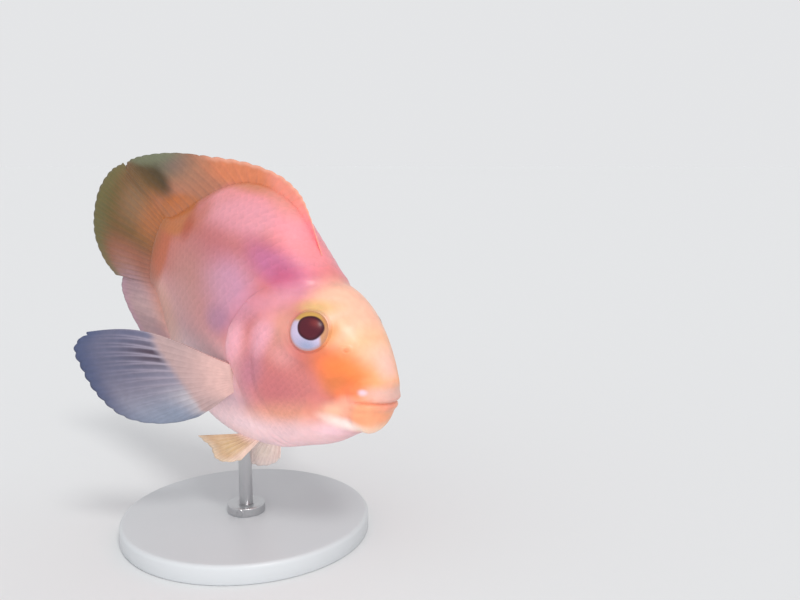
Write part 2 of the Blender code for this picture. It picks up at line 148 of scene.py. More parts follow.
# the pose: the left side sinks a little, then the nose goes down
tilt_cos, tilt_sin = math.cos(-LEFT_SIDE_DOWN), math.sin(-LEFT_SIDE_DOWN)
nose_cos, nose_sin = math.cos(NOSE_DOWN), math.sin(NOSE_DOWN)
POSE = (np.array([[nose_cos, 0, nose_sin], [0, 1, 0], [-nose_sin, 0, nose_cos]])
        @ np.array([[1, 0, 0], [0, tilt_cos, -tilt_sin], [0, tilt_sin, tilt_cos]]))
# the belly over the rod stands at its set height above the floor
KEEL = np.array([MIDDLE - ROD_STATION, 0, float(smooth_value(BELLY, ROD_STATION))])
LIFT = np.array([0, 0, BELLY_ABOVE_FLOOR]) - POSE @ KEEL


def put_in_place(points):
    """Fish-frame points (mm) as metres above the stand, swept to the right behind the bend's start."""
    x, y, z = np.moveaxis(np.asarray(points, float), -1, 0)
    radius = BEND_LENGTH / BEND_ANGLE
    turn = np.maximum(x - BEND_START, 0) / radius
    forward = MIDDLE - np.minimum(x, BEND_START) - (radius + y) * np.sin(turn)
    side = y * np.cos(turn) - radius * (1 - np.cos(turn))
    return (np.stack([forward, side, z], -1) @ POSE.T + LIFT) * MM


# ---------------------------------------------------------------------------------------------------
# Folds of the hide: thick lips, jaw and gill cover margins, nostrils, eye rims and the crease at the
# nape. The caster's pattern maker cut them into the model; each is a small rise or groove in mm.
EYE_STATION, EYE_HEIGHT = 26.8, 10.1
EYE_RADIUS, EYE_HALF_DEPTH, EYE_SINK = 7.2, 4.6, 2.1
OTHER_SIDE, FAR_AWAY = 12.0, 50.0    # points this deep behind an eye lie on the fish's other side
ORBIT_RISE = 0.28
SCALE_BED = 0.3                      # the hide lies this far inside the body's form under the scales
MOUTH_CORNER = 6.4
UPPER_LIP, LOWER_LIP = (4.2, 0.75), (3.8, 0.65)              # each roll's width and height
NOSTRIL = (14.0, 8.0)
COVER_RISE, COVER_EDGE_DROP, COVER_EDGE_WIDTH = 1.15, 0.35, 0.45
SLIT_DEPTH, SLIT_WIDTH = 0.85, 1.7
CHEEK_EDGE = ((37.5, 9.5), (42, 7), (45.8, 2), (46.6, -5), (44.8, -12), (40.5, -19), (33, -25),
              (24, -27.5))
JAW_EDGE = ((6.4, -8.0), (7.8, -11), (8.2, -14.5), (7.4, -18.6))
UPPER_JAW_EDGE = ((4.2, 2.6), (7.4, 1.0), (9.6, -2.4), (9.2, -6.6), (6.8, -9.4))
NAPE_CREASE = ((31.5, 27), (35, 23.0), (41, 19.5), (50, 17.6), (60, 17))
THROAT_FOLDS = (3.2, 6.6)
# Rolls and grooves along a line: height, place beside the line and half width.
MOUTH_SLIT, NOSTRIL_RIM, NOSTRIL_PIT = (-0.42, 0, 0.42), (0.16, 1.1, 0.45), (-0.85, 0, 0.55)
UPPER_JAW_ROLL, UPPER_JAW_GROOVE, JAW_GROOVE = (0.35, 2.2, 2.0), (-0.45, 0, 0.9), (-0.55, 0, 1.0)
CHEEK_GROOVE, CHEEK_ROLL = (-0.45, 0.8, 1.3), (0.55, -3.6, 2.8)
NAPE_GROOVE, THROAT_GROOVE = (-0.55, 0, 1.9), (-0.35, 0, 0.7)
# Soft swellings and hollows of the side view: height, middle and half sizes.
CHIN = (0.5, (3.4, -13), (3.6, 4.5))
GILL_COVER_PLATES = ((0.85, (42.0, 3.4), (3.4, 5.6)), (1.0, (54.0, -3.2), (4.0, 6.6)),
                     (-0.7, (47.5, -11.0), (3.4, 6.5)), (-0.3, (48.3, 0.5), (2.0, 5.0)))
BREAST_PAD = (0.9, (55.5, -18), (3.6, 7.0))


def side_line(path, x, z, samples=24):
    """Distance to a curve on the fish's side, which side of it a point lies on, and how far along."""
    along = np.linspace(0, len(path) - 1, samples)
    knots = list(enumerate(path))
    line = np.stack([smooth_value([(k, p[axis]) for k, p in knots], along) for axis in (0, 1)], -1)
    best = np.full(np.shape(x), 1e9)
    hand, share = np.zeros(np.shape(x)), np.zeros(np.shape(x))
    for k, (start, end) in enumerate(zip(line, line[1:])):
        run = end - start
        across_x, across_z = x - start[0], z - start[1]
        t = np.clip((across_x * run[0] + across_z * run[1]) / (run @ run), 0, 1)
        gap = np.hypot(across_x - t * run[0], across_z - t * run[1])
        nearer = gap < best
        best = np.where(nearer, gap, best)
        hand = np.where(nearer, np.sign(across_x * run[1] - across_z * run[0]), hand)
        share = np.where(nearer, (k + t) / (samples - 1), share)
    return best, hand, share


def ends_fade(share, length):
    """1 along the middle of a line, falling to 0 over a share of its length at each end."""
    return ease(0, length, share) * ease(1, 1 - length, share)


def roll(distance, height, place, half_width):
    """A rounded rise, or a groove where its height is below 0, at a place beside a line."""
    return height * bump_at(distance - place, half_width)


def oval(x, z, height, middle, half_sizes):
    """Its height in the middle of an oval on the side view, falling smoothly to nothing round it."""
    return height * bump_at(np.hypot((x - middle[0]) / half_sizes[0], (z - middle[1]) / half_sizes[1]), 1.0)


def eye_frame(side):
    """Middle of the eye on the body's form, and the outward, rearward and upward directions there."""
    def point(x, z):
        return np.array([x, side * float(half_width_at(np.float64(x), np.float64(z))), z])

    rear = point(EYE_STATION + 0.5, EYE_HEIGHT) - point(EYE_STATION - 0.5, EYE_HEIGHT)
    upward = point(EYE_STATION, EYE_HEIGHT + 0.5) - point(EYE_STATION, EYE_HEIGHT - 0.5)
    outward = np.cross(rear, upward)
    outward *= side * np.sign(outward[1]) / np.linalg.norm(outward)
    rear /= np.linalg.norm(rear)
    return point(EYE_STATION, EYE_HEIGHT), outward, rear, np.cross(outward, rear) * -side


EYE_FRAMES = {side: eye_frame(side) for side in (1, -1)}


def axis_distance(points, side):
    """How far points lie from one eye's axis."""
    middle, outward, _, _ = EYE_FRAMES[side]
    off = points - middle
    depth = off @ outward
    return np.linalg.norm(off - depth[..., None] * outward, axis=-1) + FAR_AWAY * (depth < -OTHER_SIDE)


def eye_distance(points):
    """How far points lie from the nearer eye's axis."""
    return np.minimum(axis_distance(points, 1), axis_distance(points, -1))


def scaled(points, slit_distance):
    """1 where the hide carries scales, falling to 0 on the snout, crown, throat and round the eyes."""
    x, _, z = np.moveaxis(points, -1, 0)
    # the cheek's scales start behind the mouth and stop short of the brow and the throat
    cheek = ease(17, 23, x - 0.35 * np.abs(z + 9)) * ease(7.5, 3.5, z - 0.25 * np.maximum(x - 36, 0))
    cheek = cheek * ease(-32, -27, z)
    bare_eye = ease(9.6, 11.5, eye_distance(points))
    return np.where(slit_distance > 0, ease(0, 3.5, slit_distance), cheek * bare_eye)


def relief(points, turn, slit_distance):
    """Height of the hide's folds above the body's plain form."""
    x, _, z = np.moveaxis(points, -1, 0)
    sides = np.abs(np.sin(turn))
    rise = np.zeros(np.shape(x))

    # lips: two soft rolls that meet in a shallow slit, which falls towards the mouth's corner
    above = z - (-5.9 - 0.12 * x - 0.02 * x * x)
    mouth = ease(MOUTH_CORNER + 2.6, MOUTH_CORNER - 2.0, x)
    for off_slit, (width, height) in ((above, UPPER_LIP), (-above, LOWER_LIP)):
        rise += height * np.sin(np.pi * np.clip(off_slit / width, 0, 1)**0.7)**2 * mouth
    rise += roll(above, *MOUTH_SLIT) * ease(MOUTH_CORNER + 0.8, MOUTH_CORNER - 1.6, x)

    # the upper jaw bone's rounded end, the lower jaw's edge and the plump chin
    gap, hand, share = side_line(UPPER_JAW_EDGE, x, z)
    rise += (roll(gap * hand, *UPPER_JAW_ROLL) + roll(gap, *UPPER_JAW_GROOVE)) * ends_fade(share, 0.3)
    gap, _, share = side_line(JAW_EDGE, x, z)
    rise += roll(gap, *JAW_GROOVE) * ends_fade(share, 0.3)
    rise += oval(x, z, *CHIN)

    # nostrils, one on each side
    gap = np.hypot(x - NOSTRIL[0], z - NOSTRIL[1]) * (1 + 9 * (sides < 0.35))
    rise += roll(gap, *NOSTRIL_RIM) + roll(gap, *NOSTRIL_PIT)

    # cheek plate, then a shallow valley with the two plates of the gill cover behind it
    gap, hand, share = side_line(CHEEK_EDGE, x, z)
    rise += roll(gap * hand, *CHEEK_GROOVE) * ends_fade(share, 0.35)
    rise += roll(gap * hand, *CHEEK_ROLL) * ends_fade(share, 0.4)
    rise += sum(oval(x, z, *plate) for plate in GILL_COVER_PLATES) * ease(0.5, -0.5, slit_distance)

    # gill cover margin: it rises to a thin rounded edge, with a groove behind it
    before = np.minimum(slit_distance, 0)
    cover = COVER_RISE * ease(-22, -1, before) - COVER_EDGE_DROP * np.exp(before / COVER_EDGE_WIDTH)
    behind = -SLIT_DEPTH * np.exp(-np.maximum(slit_distance, 0) / SLIT_WIDTH)
    off_the_nape = ease(0.62, 0.12, np.cos(turn))
    rise += np.where(slit_distance <= 0, cover, behind) * sides**2 * (0.06 + 0.94 * off_the_nape)
    under = ease(0.75, 1.0, -np.cos(turn))
    for back in THROAT_FOLDS:
        rise += roll(slit_distance + back, *THROAT_GROOVE) * under * ease(0.02, 0.15, sides)

    # nape crease, and the breast's pad under the pectoral fin
    gap, _, share = side_line(NAPE_CREASE, x, z)
    rise += roll(gap, *NAPE_GROOVE) * ease(1, 0.6, share)
    rise += oval(x, z, *BREAST_PAD) * ease(0, 1, slit_distance)

    # the orbit swells towards the eye
    return rise + ORBIT_RISE * ease(13.5, 7.8, eye_distance(points))


# ---------------------------------------------------------------------------------------------------
# The fish's markings, shared by hide, scales and fins: the painter lays soft-edged patches over a ground
# that runs from a salmon back through lavender flanks to a pale rose belly.
# Each patch: its place on the side view (x, z), half sizes, lean in degrees, softness, strength, colour.
GROUND = ((-46, "#9C6474"), (-36, "#EFBCBB"), (-24, "#B38796"), (-8, "#D59597"), (8, "#BD5844"),
          (22, "#C46354"), (34, "#BA5E31"), (42, "#EA8786"), (52, "#B27259"))
PATCHES = (
    # trunk
    ((66, 12), (17, 11), 10, 0.7, 0.8, "#CC94B1"),            # lavender flank
    ((74, 35), (24, 7.5), -8, 0.6, 0.9, "#E596A3"),           # rose band along the upper flank, a painted highlight
    ((48, 34), (16, 7), 44, 0.6, 0.8, "#FB95A0"),             # pink slope of the nape
    ((50, 24.2), (15, 4.8), 15, 0.7, 0.85, "#BC6A93"),        # magenta saddle behind the nape
    ((44.5, 22), (6, 3.4), 20, 0.8, 0.7, "#BA5271"),
    ((86, 22), (16, 7), -12, 0.8, 0.6, "#B7626A"),            # dusky rose before the tail
    ((66.5, 0.0), (7.0, 4.8), -10, 0.7, 0.85, "#AD7795"),     # grey-mauve spot behind the gill cover
    ((92, 4), (20, 13), 0, 0.8, 0.6, "#BB8A88"),
    ((80, -24), (30, 10), -8, 0.7, 0.7, "#FDD7D8"),           # beige lower flank
    ((112, -14), (20, 9), 20, 0.7, 0.7, "#E29C7D"),
    ((124, 7), (9.5, 14), 10, 0.3, 0.95, "#B8552A"),          # orange-brown saddle before the tail
    ((118, 24), (15.5, 8), -10, 0.2, 0.97, "#BB6322"),
    ((105, 23), (4, 5), 0, 0.7, 0.7, "#AB3B17"),
    ((101, 31), (6.5, 4.5), -20, 0.7, 0.65, "#BA5E4D"),
    # fins on the middle line
    ((92, 47), (30, 4.6), -3, 0.5, 0.95, "#CD7953"),          # orange band of the back fin
    ((66, 47), (13, 4.5), 22, 0.6, 0.8, "#E68E7F"),
    ((124, 42), (14, 9), -10, 0.7, 0.9, "#9E7159"),
    ((142, 39), (17, 7), -14, 0.6, 0.95, "#5B604B"),          # brown rear of the back fin
    ((140.5, 33.0), (12.5, 4.8), 14, 0.45, 0.95, "#312B18"),  # dark blotch
    ((152, 12), (24, 24), 0, 0.4, 1.0, "#6C4F28"),            # brown tail fin
    ((136, 17), (9, 9), 0, 0.8, 0.8, "#AE6940"),
    ((144, -3), (18, 7), 6, 0.7, 0.95, "#955C4A"),
    ((150, 20), (8, 8), 0, 0.9, 0.5, "#977459"),
    ((130, 42), (7, 4), -10, 0.9, 0.35, "#9B7270"),
    ((142, -14), (6, 6), 0, 0.8, 0.7, "#95607A"),
    ((170, 14), (9, 28), 0, 0.7, 0.8, "#5E5A30"),             # olive rim of the tail
    ((130, -22), (22, 8), 38, 0.7, 0.8, "#AA9092"),           # mauve belly fin
    # head
    ((22, -6), (27, 22), -25, 0.45, 0.95, "#CB7570"),         # salmon cheek
    ((26, 0.8), (7, 3.4), 0, 0.8, 0.7, "#BC6B67"),
    ((34, -12.5), (9, 6), -10, 0.8, 0.7, "#C0696E"),          # coral heart of the cheek
    ((33, -26), (24, 6.5), -28, 0.6, 0.9, "#E29980"),         # pale rose jaw line
    ((44, -36), (26, 8.5), -12, 0.6, 0.9, "#FDD8DD"),         # throat and breast
    ((24, -28), (18, 6), -30, 0.6, 0.9, "#EEC5C8"),
    ((36.5, 8.5), (6, 8), 0, 0.9, 0.8, "#D09386"),            # peach shade behind the eye
    ((44.5, -10), (4.6, 8.0), 12, 0.7, 0.8, "#B77383"),       # mauve painted shade in the hollow between the gill plates
    ((42.6, 2.2), (3.9, 6.8), 12, 0.6, 0.85, "#E6A0AE"),      # rose plates of the gill cover, painted lighter as a highlight on their bulges
    ((54.0, -4.6), (4.2, 7.5), 12, 0.6, 0.85, "#EDA7B4"),
    ((42.4, 15.2), (10.5, 4.0), -40, 0.9, 0.7, "#D692A3"),    # pale strip under the nape
    ((33.2, -1.0), (4.8, 3.2), 0, 0.9, 0.6, "#E19896"),
    ((16, 17), (19, 9.8), 25, 0.3, 1.0, "#F6BA9F"),           # cream crown
    ((9, 9.5), (7, 7), 50, 0.8, 0.9, "#F4B88E"),
    ((4, 2.0), (5, 5), 0, 0.8, 0.9, "#F9BC8B"),               # peach snout
    ((4.5, 10.5), (4, 5), 50, 0.9, 0.7, "#F6D2C8"),
    ((14.5, 3.0), (8.5, 6.0), 14, 0.9, 0.7, "#D46D24"),       # orange between eye and mouth
    ((11.3, 0.4), (7.0, 4.4), 12, 0.85, 1.0, "#F37E41"),
    ((12.0, -3.6), (5.0, 4.4), 0, 0.85, 0.85, "#CA7242"),
    ((7.5, -5.0), (4.2, 3.0), -20, 0.8, 0.7, "#EE7B50"),
    ((28.8, 17.2), (4.8, 2.0), -12, 0.9, 0.8, "#CEA867"),     # olive-gold brow
    ((20.4, 11.4), (2.0, 4.0), 8, 1.0, 0.7, "#D98A40"),       # bronze skin in front of the eye
    ((0.6, -3.0), (3.6, 2.6), 0, 0.7, 0.8, "#DAB2A8"),        # cream upper lip
    # painted highlight on the upper lip, pink-white
    ((4.9, -3.2), (1.0, 0.9), 0, 0.8, 0.75, "#F4CADF"),
    ((3.0, -11.6), (5.0, 6.6), 0, 0.5, 1.0, "#F1A078"),       # apricot lower jaw
    ((2.6, -16.4), (4.0, 1.9), -20, 0.8, 0.8, "#F5C7A7"),
    ((8.6, -7.6), (2.8, 1.8), -20, 0.8, 0.7, "#F0A48F"),
    ((12.0, -12.2), (3.8, 2.4), -28, 0.9, 0.65, "#F7C8A6"),   # pale wedge behind the mouth
    ((2.2, 5.2), (2.0, 4.4), -40, 0.9, 0.6, "#F2CBD1"),
    ((13.4, -20.2), (4.6, 2.2), -25, 0.9, 0.6, "#F7D0DC"),    # lilac-pink under the chin
    ((9.6, -16.2), (5.6, 1.9), 3, 0.9, 0.8, "#FBECE4"),       # pale chin fold
)


def linear(hex_colour):
    """An sRGB hex colour as linear values."""
    parts = np.array([int(hex_colour[k:k + 2], 16) / 255 for k in (1, 3, 5)])
    return np.where(parts > 0.04045, ((parts + 0.055) / 1.055)**2.4, parts / 12.92)


def markings(x, z):
    """The painted colour at places on the side view, as linear RGB."""
    heights = np.array([row[0] for row in GROUND], float)
    shades = np.array([linear(row[1]) for row in GROUND])
    squeeze = 1 + 0.9 * ease(86, 125, x)      # the ground's bands draw together towards the tail
    level = np.clip(z * squeeze, heights[0], heights[-1])
    colour = np.stack([np.interp(level, heights, shades[:, axis]) for axis in range(3)], -1)
    for (px, pz), (rx, rz), lean, soft, strength, shade in PATCHES:
        lean_cos, lean_sin = math.cos(math.radians(lean)), math.sin(math.radians(lean))
        along = (x - px) * lean_cos + (z - pz) * lean_sin
        across = (z - pz) * lean_cos - (x - px) * lean_sin
        cover = strength * ease(1 + soft, 1 - soft, np.hypot(along / rx, across / rz))
        colour = colour + (linear(shade) - colour) * cover[..., None]
    return colour


# ---------------------------------------------------------------------------------------------------
# The hide itself: one closed shell, lofted in rows that follow the gill slit, with a finer round patch
# let in at each eye. Cast resin, painted, then clear-coated so that it looks wet.
COLUMNS = 340
HEAD_ROW_STEP, TRUNK_ROWS = 0.39, 66
EYE_HOLE = 9.2                 # the eye patch starts at least this far from the eye's axis
PATCH_RADIUS, PATCH_RINGS = 7.9, 13
LID_RISE, LID_RADIUS, LID_WIDTH = 0.06, 7.4, 0.7
# Rings of the lid's fold (radius, height over the eyeball) and of the socket (radius, depth).
LID_FOLD = ((7.55, 0.08), (7.25, 0.19), (6.98, 0.19), (6.75, 0.13), (6.58, 0.03), (6.50, -0.14))
SOCKET, SOCKET_DEPTH = ((6.95, -0.75), (7.4, -2.1), (6.9, -4.2), (4.4, -6.3)), 7.1


def add_node(tree, kind, links=(), **settings):
    """Adds a node with its settings; links gives each input a value or another node's output."""
    node = tree.nodes.new(kind)
    for name, value in settings.items():
        setattr(node, name, value)
    for name, value in dict(links).items():
        if isinstance(value, bpy.types.NodeSocket):
            tree.links.new(value, node.inputs[name])
        else:
            node.inputs[name].default_value = value
    return node


def new_material(name, **sockets):
    """A material with one Principled shader, and its tree, its shader and the Object coordinates."""
    made = bpy.data.materials.new(name)
    made.use_nodes = True
    tree = made.node_tree
    shader = tree.nodes["Principled BSDF"]
    for socket, value in sockets.items():
        shader.inputs[socket.replace("_", " ")].default_value = value
    return made, tree, shader, tree.nodes.new("ShaderNodeTexCoord").outputs["Object"]


def paint(mesh, colours):
    """Writes linear colours on a mesh's points."""
    layer = mesh.color_attributes.new("markings", "FLOAT_COLOR", "POINT")
    values = np.ones((len(mesh.vertices), 4), np.float32)
    values[:, :colours.shape[-1]] = colours
    layer.data.foreach_set("color", values.ravel())


def show_markings(tree, shader, place, pattern_scale, tones, spread=(0.3, 0.7), detail=3.0):
    """Takes the base colour from the painted markings, toned darker and lighter by a fine noise."""
    layer = add_node(tree, "ShaderNodeAttribute", attribute_name="markings").outputs["Color"]
    noise = add_node(tree, "ShaderNodeTexNoise",
                     {"Vector": place, "Scale": pattern_scale, "Detail": detail})
    value = add_node(tree, "ShaderNodeMapRange", {
        "Value": noise.outputs["Fac"], "From Min": spread[0], "From Max": spread[1],
        "To Min": tones[0], "To Max": tones[1]}).outputs["Result"]
    toned = add_node(tree, "ShaderNodeHueSaturation", {"Color": layer, "Value": value}).outputs["Color"]
    tree.links.new(toned, shader.inputs["Base Color"])


def new_piece(name, vertices, faces, material):
    """A smooth-shaded mesh object from points in metres, linked to the scene."""
    mesh = bpy.data.meshes.new(name)
    mesh.from_pydata([tuple(v) for v in vertices], [], [tuple(f) for f in faces])
    mesh.validate()
    mesh.shade_smooth()
    mesh.materials.append(material)
    piece = bpy.data.objects.new(name, mesh)
    bpy.context.scene.collection.objects.link(piece)
    return piece


# the rows: close over the snout's cap, even along the head, close behind the slit, even to the tail
turns = np.linspace(0, 2 * np.pi, COLUMNS, endpoint=False)
slit = gill_slit(turns)
cap = np.linspace(0.04, 1, 15)
cap_rows = SNOUT_ROUNDING * (1 - np.sqrt(1 - cap**2))
head_rows = np.arange(SNOUT_ROUNDING + 0.35, GILL_SLIT_SIDE - 0.3, HEAD_ROW_STEP)
head_rows = np.concatenate([cap_rows, head_rows, [GILL_SLIT_SIDE - 0.18, GILL_SLIT_SIDE]]) / GILL_SLIT_SIDE
behind_slit = np.array([0.12, 0.35, 0.7, 1.2, 1.9, 2.8, 3.8])
trunk_share = np.linspace(0, 1, TRUNK_ROWS)[1:]
tail_start = STANDARD_LENGTH - TAIL_ROUNDING
tail_rows = STANDARD_LENGTH - TAIL_ROUNDING * (1 - np.sqrt(1 - cap[::-2]**2))
tail_rows = tail_start + (STANDARD_LENGTH - tail_rows)[::-1]
trunk_start = slit + behind_slit[-1]
stations = np.concatenate([
    head_rows[:, None] * slit,
    slit + behind_slit[:, None],
    trunk_start + (tail_start - trunk_start) * trunk_share[:, None],
    np.repeat(tail_rows[1:-1, None], COLUMNS, 1)])


def outward_at(x, turn):
    """Unit direction straight out of the body's form."""
    along = body_point(x + 0.05, turn) - body_point(np.maximum(x - 0.05, 0), turn)
    around = body_point(x, turn + 0.004) - body_point(x, turn - 0.004)
    normal = np.cross(around, along)
    return normal / np.maximum(np.linalg.norm(normal, axis=-1, keepdims=True), 1e-12)


def hide_point(x, turn, extra=0.0):
    """The hide's surface at a station and turn."""
    form = body_point(x, turn)
    slit_distance = x - gill_slit(turn)
    height = relief(form, turn, slit_distance) - SCALE_BED * scaled(form, slit_distance) + extra
    return form + outward_at(x, turn) * height[..., None]


def turn_at(points):
    """The turn round the body at which points on its form lie."""
    x, y, z = np.moveaxis(points, -1, 0)
    rounding, middle, edge, _ = cross_section(x, z > smooth_value(WIDEST_HEIGHT, x))
    turn = np.arccos(np.clip((z - middle) / (np.abs(edge - middle) * rounding), -1, 1))
    return np.where(y < 0, turn, 2 * np.pi - turn)


grid_turns = turns + 0 * stations
form = body_point(stations, grid_turns)
rows = len(stations)
index = np.arange(rows * COLUMNS).reshape(rows, COLUMNS)
following = np.roll(index, -1, 1)
quads = np.stack([index[:-1], index[1:], following[1:], following[:-1]], -1)
snout, tail_end = rows * COLUMNS, rows * COLUMNS + 1
points = [hide_point(stations, grid_turns).reshape(-1, 3),
          np.array([[0, 0, smooth_value(WIDEST_HEIGHT, 0) - 0.2],
                    [STANDARD_LENGTH, 0, smooth_value(WIDEST_HEIGHT, STANDARD_LENGTH)]])]
faces = []
for k in range(COLUMNS):
    after = (k + 1) % COLUMNS
    faces.append((snout, index[0, k], index[0, after]))
    faces.append((tail_end, index[-1, after], index[-1, k]))


def form_over(side, radius, angles):
    """Height of the body's form over the eye's plane, and the points of a circle on that plane."""
    middle, outward, rear, upward = EYE_FRAMES[side]
    flat = middle + radius * (np.cos(angles)[:, None] * rear + np.sin(angles)[:, None] * upward)
    height = np.zeros(len(angles))
    for _ in range(12):                       # settles onto the form in a few steps
        spot = flat + height[:, None] * outward
        height -= (side * spot[:, 1] - half_width_at(spot[:, 0], spot[:, 2])) / (side * outward[1])
    return height, flat


def eyeball_height(radius):
    """Height of the eyeball's front over the eye's plane."""
    return EYE_HALF_DEPTH * math.sqrt(max(1 - (radius / EYE_RADIUS)**2, 0)) - EYE_SINK


# the eye patches: rings from a block of the grid in to the lid, then down round the eyeball
point_count = snout + 2
for side in (1, -1):
    middle, outward, rear, upward = EYE_FRAMES[side]
    off_axis = axis_distance(form, side)
    row, column = np.unravel_index(np.argmin(off_axis), off_axis.shape)
    first_row, last_row, first_column, last_column = row - 1, row + 1, column - 1, column + 1
    for _ in range(60):                       # widens the block until its rim clears the eye
        first_row -= off_axis[first_row, first_column:last_column + 1].min() < EYE_HOLE
        last_row += off_axis[last_row, first_column:last_column + 1].min() < EYE_HOLE
        first_column -= off_axis[first_row:last_row + 1, first_column].min() < EYE_HOLE
        last_column += off_axis[first_row:last_row + 1, last_column].min() < EYE_HOLE
    quads[first_row:last_row, first_column:last_column] = -1
    across, down = np.arange(first_column, last_column), np.arange(first_row, last_row)
    loop_rows = np.concatenate([0 * across + first_row, down, 0 * across + last_row, down[::-1] + 1])
    loop_columns = np.concatenate([across, 0 * down + last_column, across[::-1] + 1,
                                   0 * down + first_column])
    loop_x, loop_turn = stations[loop_rows, loop_columns], turns[loop_columns]
    loop_off = (form - middle)[loop_rows, loop_columns]
    angles = np.arctan2(loop_off @ upward, loop_off @ rear)
    around_eye = np.cos(angles)[:, None] * rear + np.sin(angles)[:, None] * upward
    height, flat = form_over(side, PATCH_RADIUS, angles)
    inner = flat + height[:, None] * outward
    rings = []
    for share in np.linspace(0, 1, PATCH_RINGS)[1:]:
        x = loop_x + (inner[:, 0] - loop_x) * share
        turn = loop_turn + (turn_at(inner) - loop_turn) * share
        spot = body_point(x, turn) - middle
        off_lid = np.hypot(spot @ rear, spot @ upward) - LID_RADIUS
        rings.append(hide_point(x, turn, LID_RISE * bump_at(off_lid, LID_WIDTH)))
    skin_level = form_over(side, LID_FOLD[0][0], angles)[0] + ORBIT_RISE + LID_RISE
    for radius, lift in LID_FOLD:
        sunk = ease(0, 0.75, (LID_FOLD[0][0] - radius) / (LID_FOLD[0][0] - LID_FOLD[-1][0]))
        level = (1 - sunk) * skin_level + sunk * (eyeball_height(radius) + lift)
        rings.append(middle + radius * around_eye + outward * level[:, None])
    for radius, level in SOCKET:
        rings.append(middle + radius * around_eye + outward * level)
    count = len(angles)
    ring_index = np.concatenate([index[loop_rows, loop_columns][None],
                                 point_count + np.arange(len(rings) * count).reshape(-1, count)])
    points.extend(rings)
    points.append((middle - SOCKET_DEPTH * outward)[None])
    point_count += len(rings) * count + 1
    turned_index = np.roll(ring_index, -1, 1)
    faces.extend(np.stack([turned_index[:-1], ring_index[:-1], ring_index[1:], turned_index[1:]], -1)
                 .reshape(-1, 4).tolist())
    faces.extend((a, b, point_count - 1) for a, b in zip(turned_index[-1], ring_index[-1]))

faces.extend(quads[quads[..., 0] >= 0].tolist())
hide_points = np.concatenate(points)
used = np.unique([v for face in faces for v in face])
renumbered = np.full(len(hide_points), -1)
renumbered[used] = np.arange(len(used))
hide_points = hide_points[used]
faces = [[int(renumbered[v]) for v in face] for face in faces]

# painted resin under a clear coat: soft, slightly see-through colour with a wet sheen
wet_hide, tree, shader, place = new_material(
    "painted_resin_hide", Roughness=0.42, Specular_IOR_Level=0.3, Coat_Weight=0.2, Coat_Roughness=0.22,
    Subsurface_Weight=0.18, Subsurface_Scale=0.004, Subsurface_Radius=(1.0, 0.45, 0.3))
# mottling of the pigment cells, about 3 mm across
show_markings(tree, shader, place, 330.0, (0.94, 1.05))
# skin pores about 0.5 mm apart
pores = add_node(tree, "ShaderNodeTexNoise", {"Vector": place, "Scale": 1800.0, "Detail": 2.0})
dent = add_node(tree, "ShaderNodeBump", {"Height": pores.outputs["Fac"], "Strength": 0.12,
                                         "Distance": 0.00012})
tree.links.new(dent.outputs["Normal"], shader.inputs["Normal"])

hide_piece = new_piece("hide", put_in_place(hide_points), faces, wet_hide)
paint(hide_piece.data, markings(hide_points[:, 0], hide_points[:, 2]))
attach(hide_piece, "root")
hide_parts("head", "lower_jaw", "gill_cover_left", "gill_cover_right", "trunk", "tail_stalk")

# ---------------------------------------------------------------------------------------------------
# Glass eyes: a large dark maroon pupil, set high and forward in an iris that is silver-lavender behind
# and below and gold above. Blown glass painted from behind, domed, polished and set into the sockets.
PUPIL_PLACE = (-0.8, 0.95)    # rearward and upward of the eye's middle
PUPIL_RADII = (4.3, 3.85)
PUPIL_LOBES = ((0.025, 3, 0.7), (0.012, 5, -0.4))      # size, how many round it, and where they start
EYE_COLOURS = {"pupil": "#4E1A25", "pupil_highlight": "#7A3030", "pupil_rim": "#3A1420", "silver": "#C0B2CC",
               "blue": "#8A94B2", "gold": "#C0954E", "bronze": "#BC8450", "rim": "#B98068"}

# polished glass, a little dulled by a wet film: one soft highlight over the painted iris
glass, tree, shader, place = new_material("polished_glass_eye", Roughness=0.28, IOR=1.45,
                                          Specular_IOR_Level=0.28)
# fibres of the iris: a fine speckle about 0.3 mm across
show_markings(tree, shader, place, 3200.0, (0.85, 1.15), spread=(0.0, 1.0), detail=2.0)


def mixed(colour, shade, cover):
    """Lays a hex shade over linear colours by a cover of 0 to 1 for each."""
    return colour + (linear(shade) - colour) * np.asarray(cover)[..., None]


def ring_faces(rings, segments, inward=False):
    """Faces of a closed round shape: its rings of points come in order, then its two poles."""
    first_pole = rings * segments
    last_ring = first_pole - segments
    faces = []
    for k in range(segments):
        after = (k + 1) % segments
        for low in range(0, last_ring, segments):
            faces.append((low + k, low + after, low + segments + after, low + segments + k))
        faces.append((first_pole, after, k))
        faces.append((first_pole + 1, last_ring + k, last_ring + after))
    return [(face[0], *face[:0:-1]) for face in faces] if inward else faces


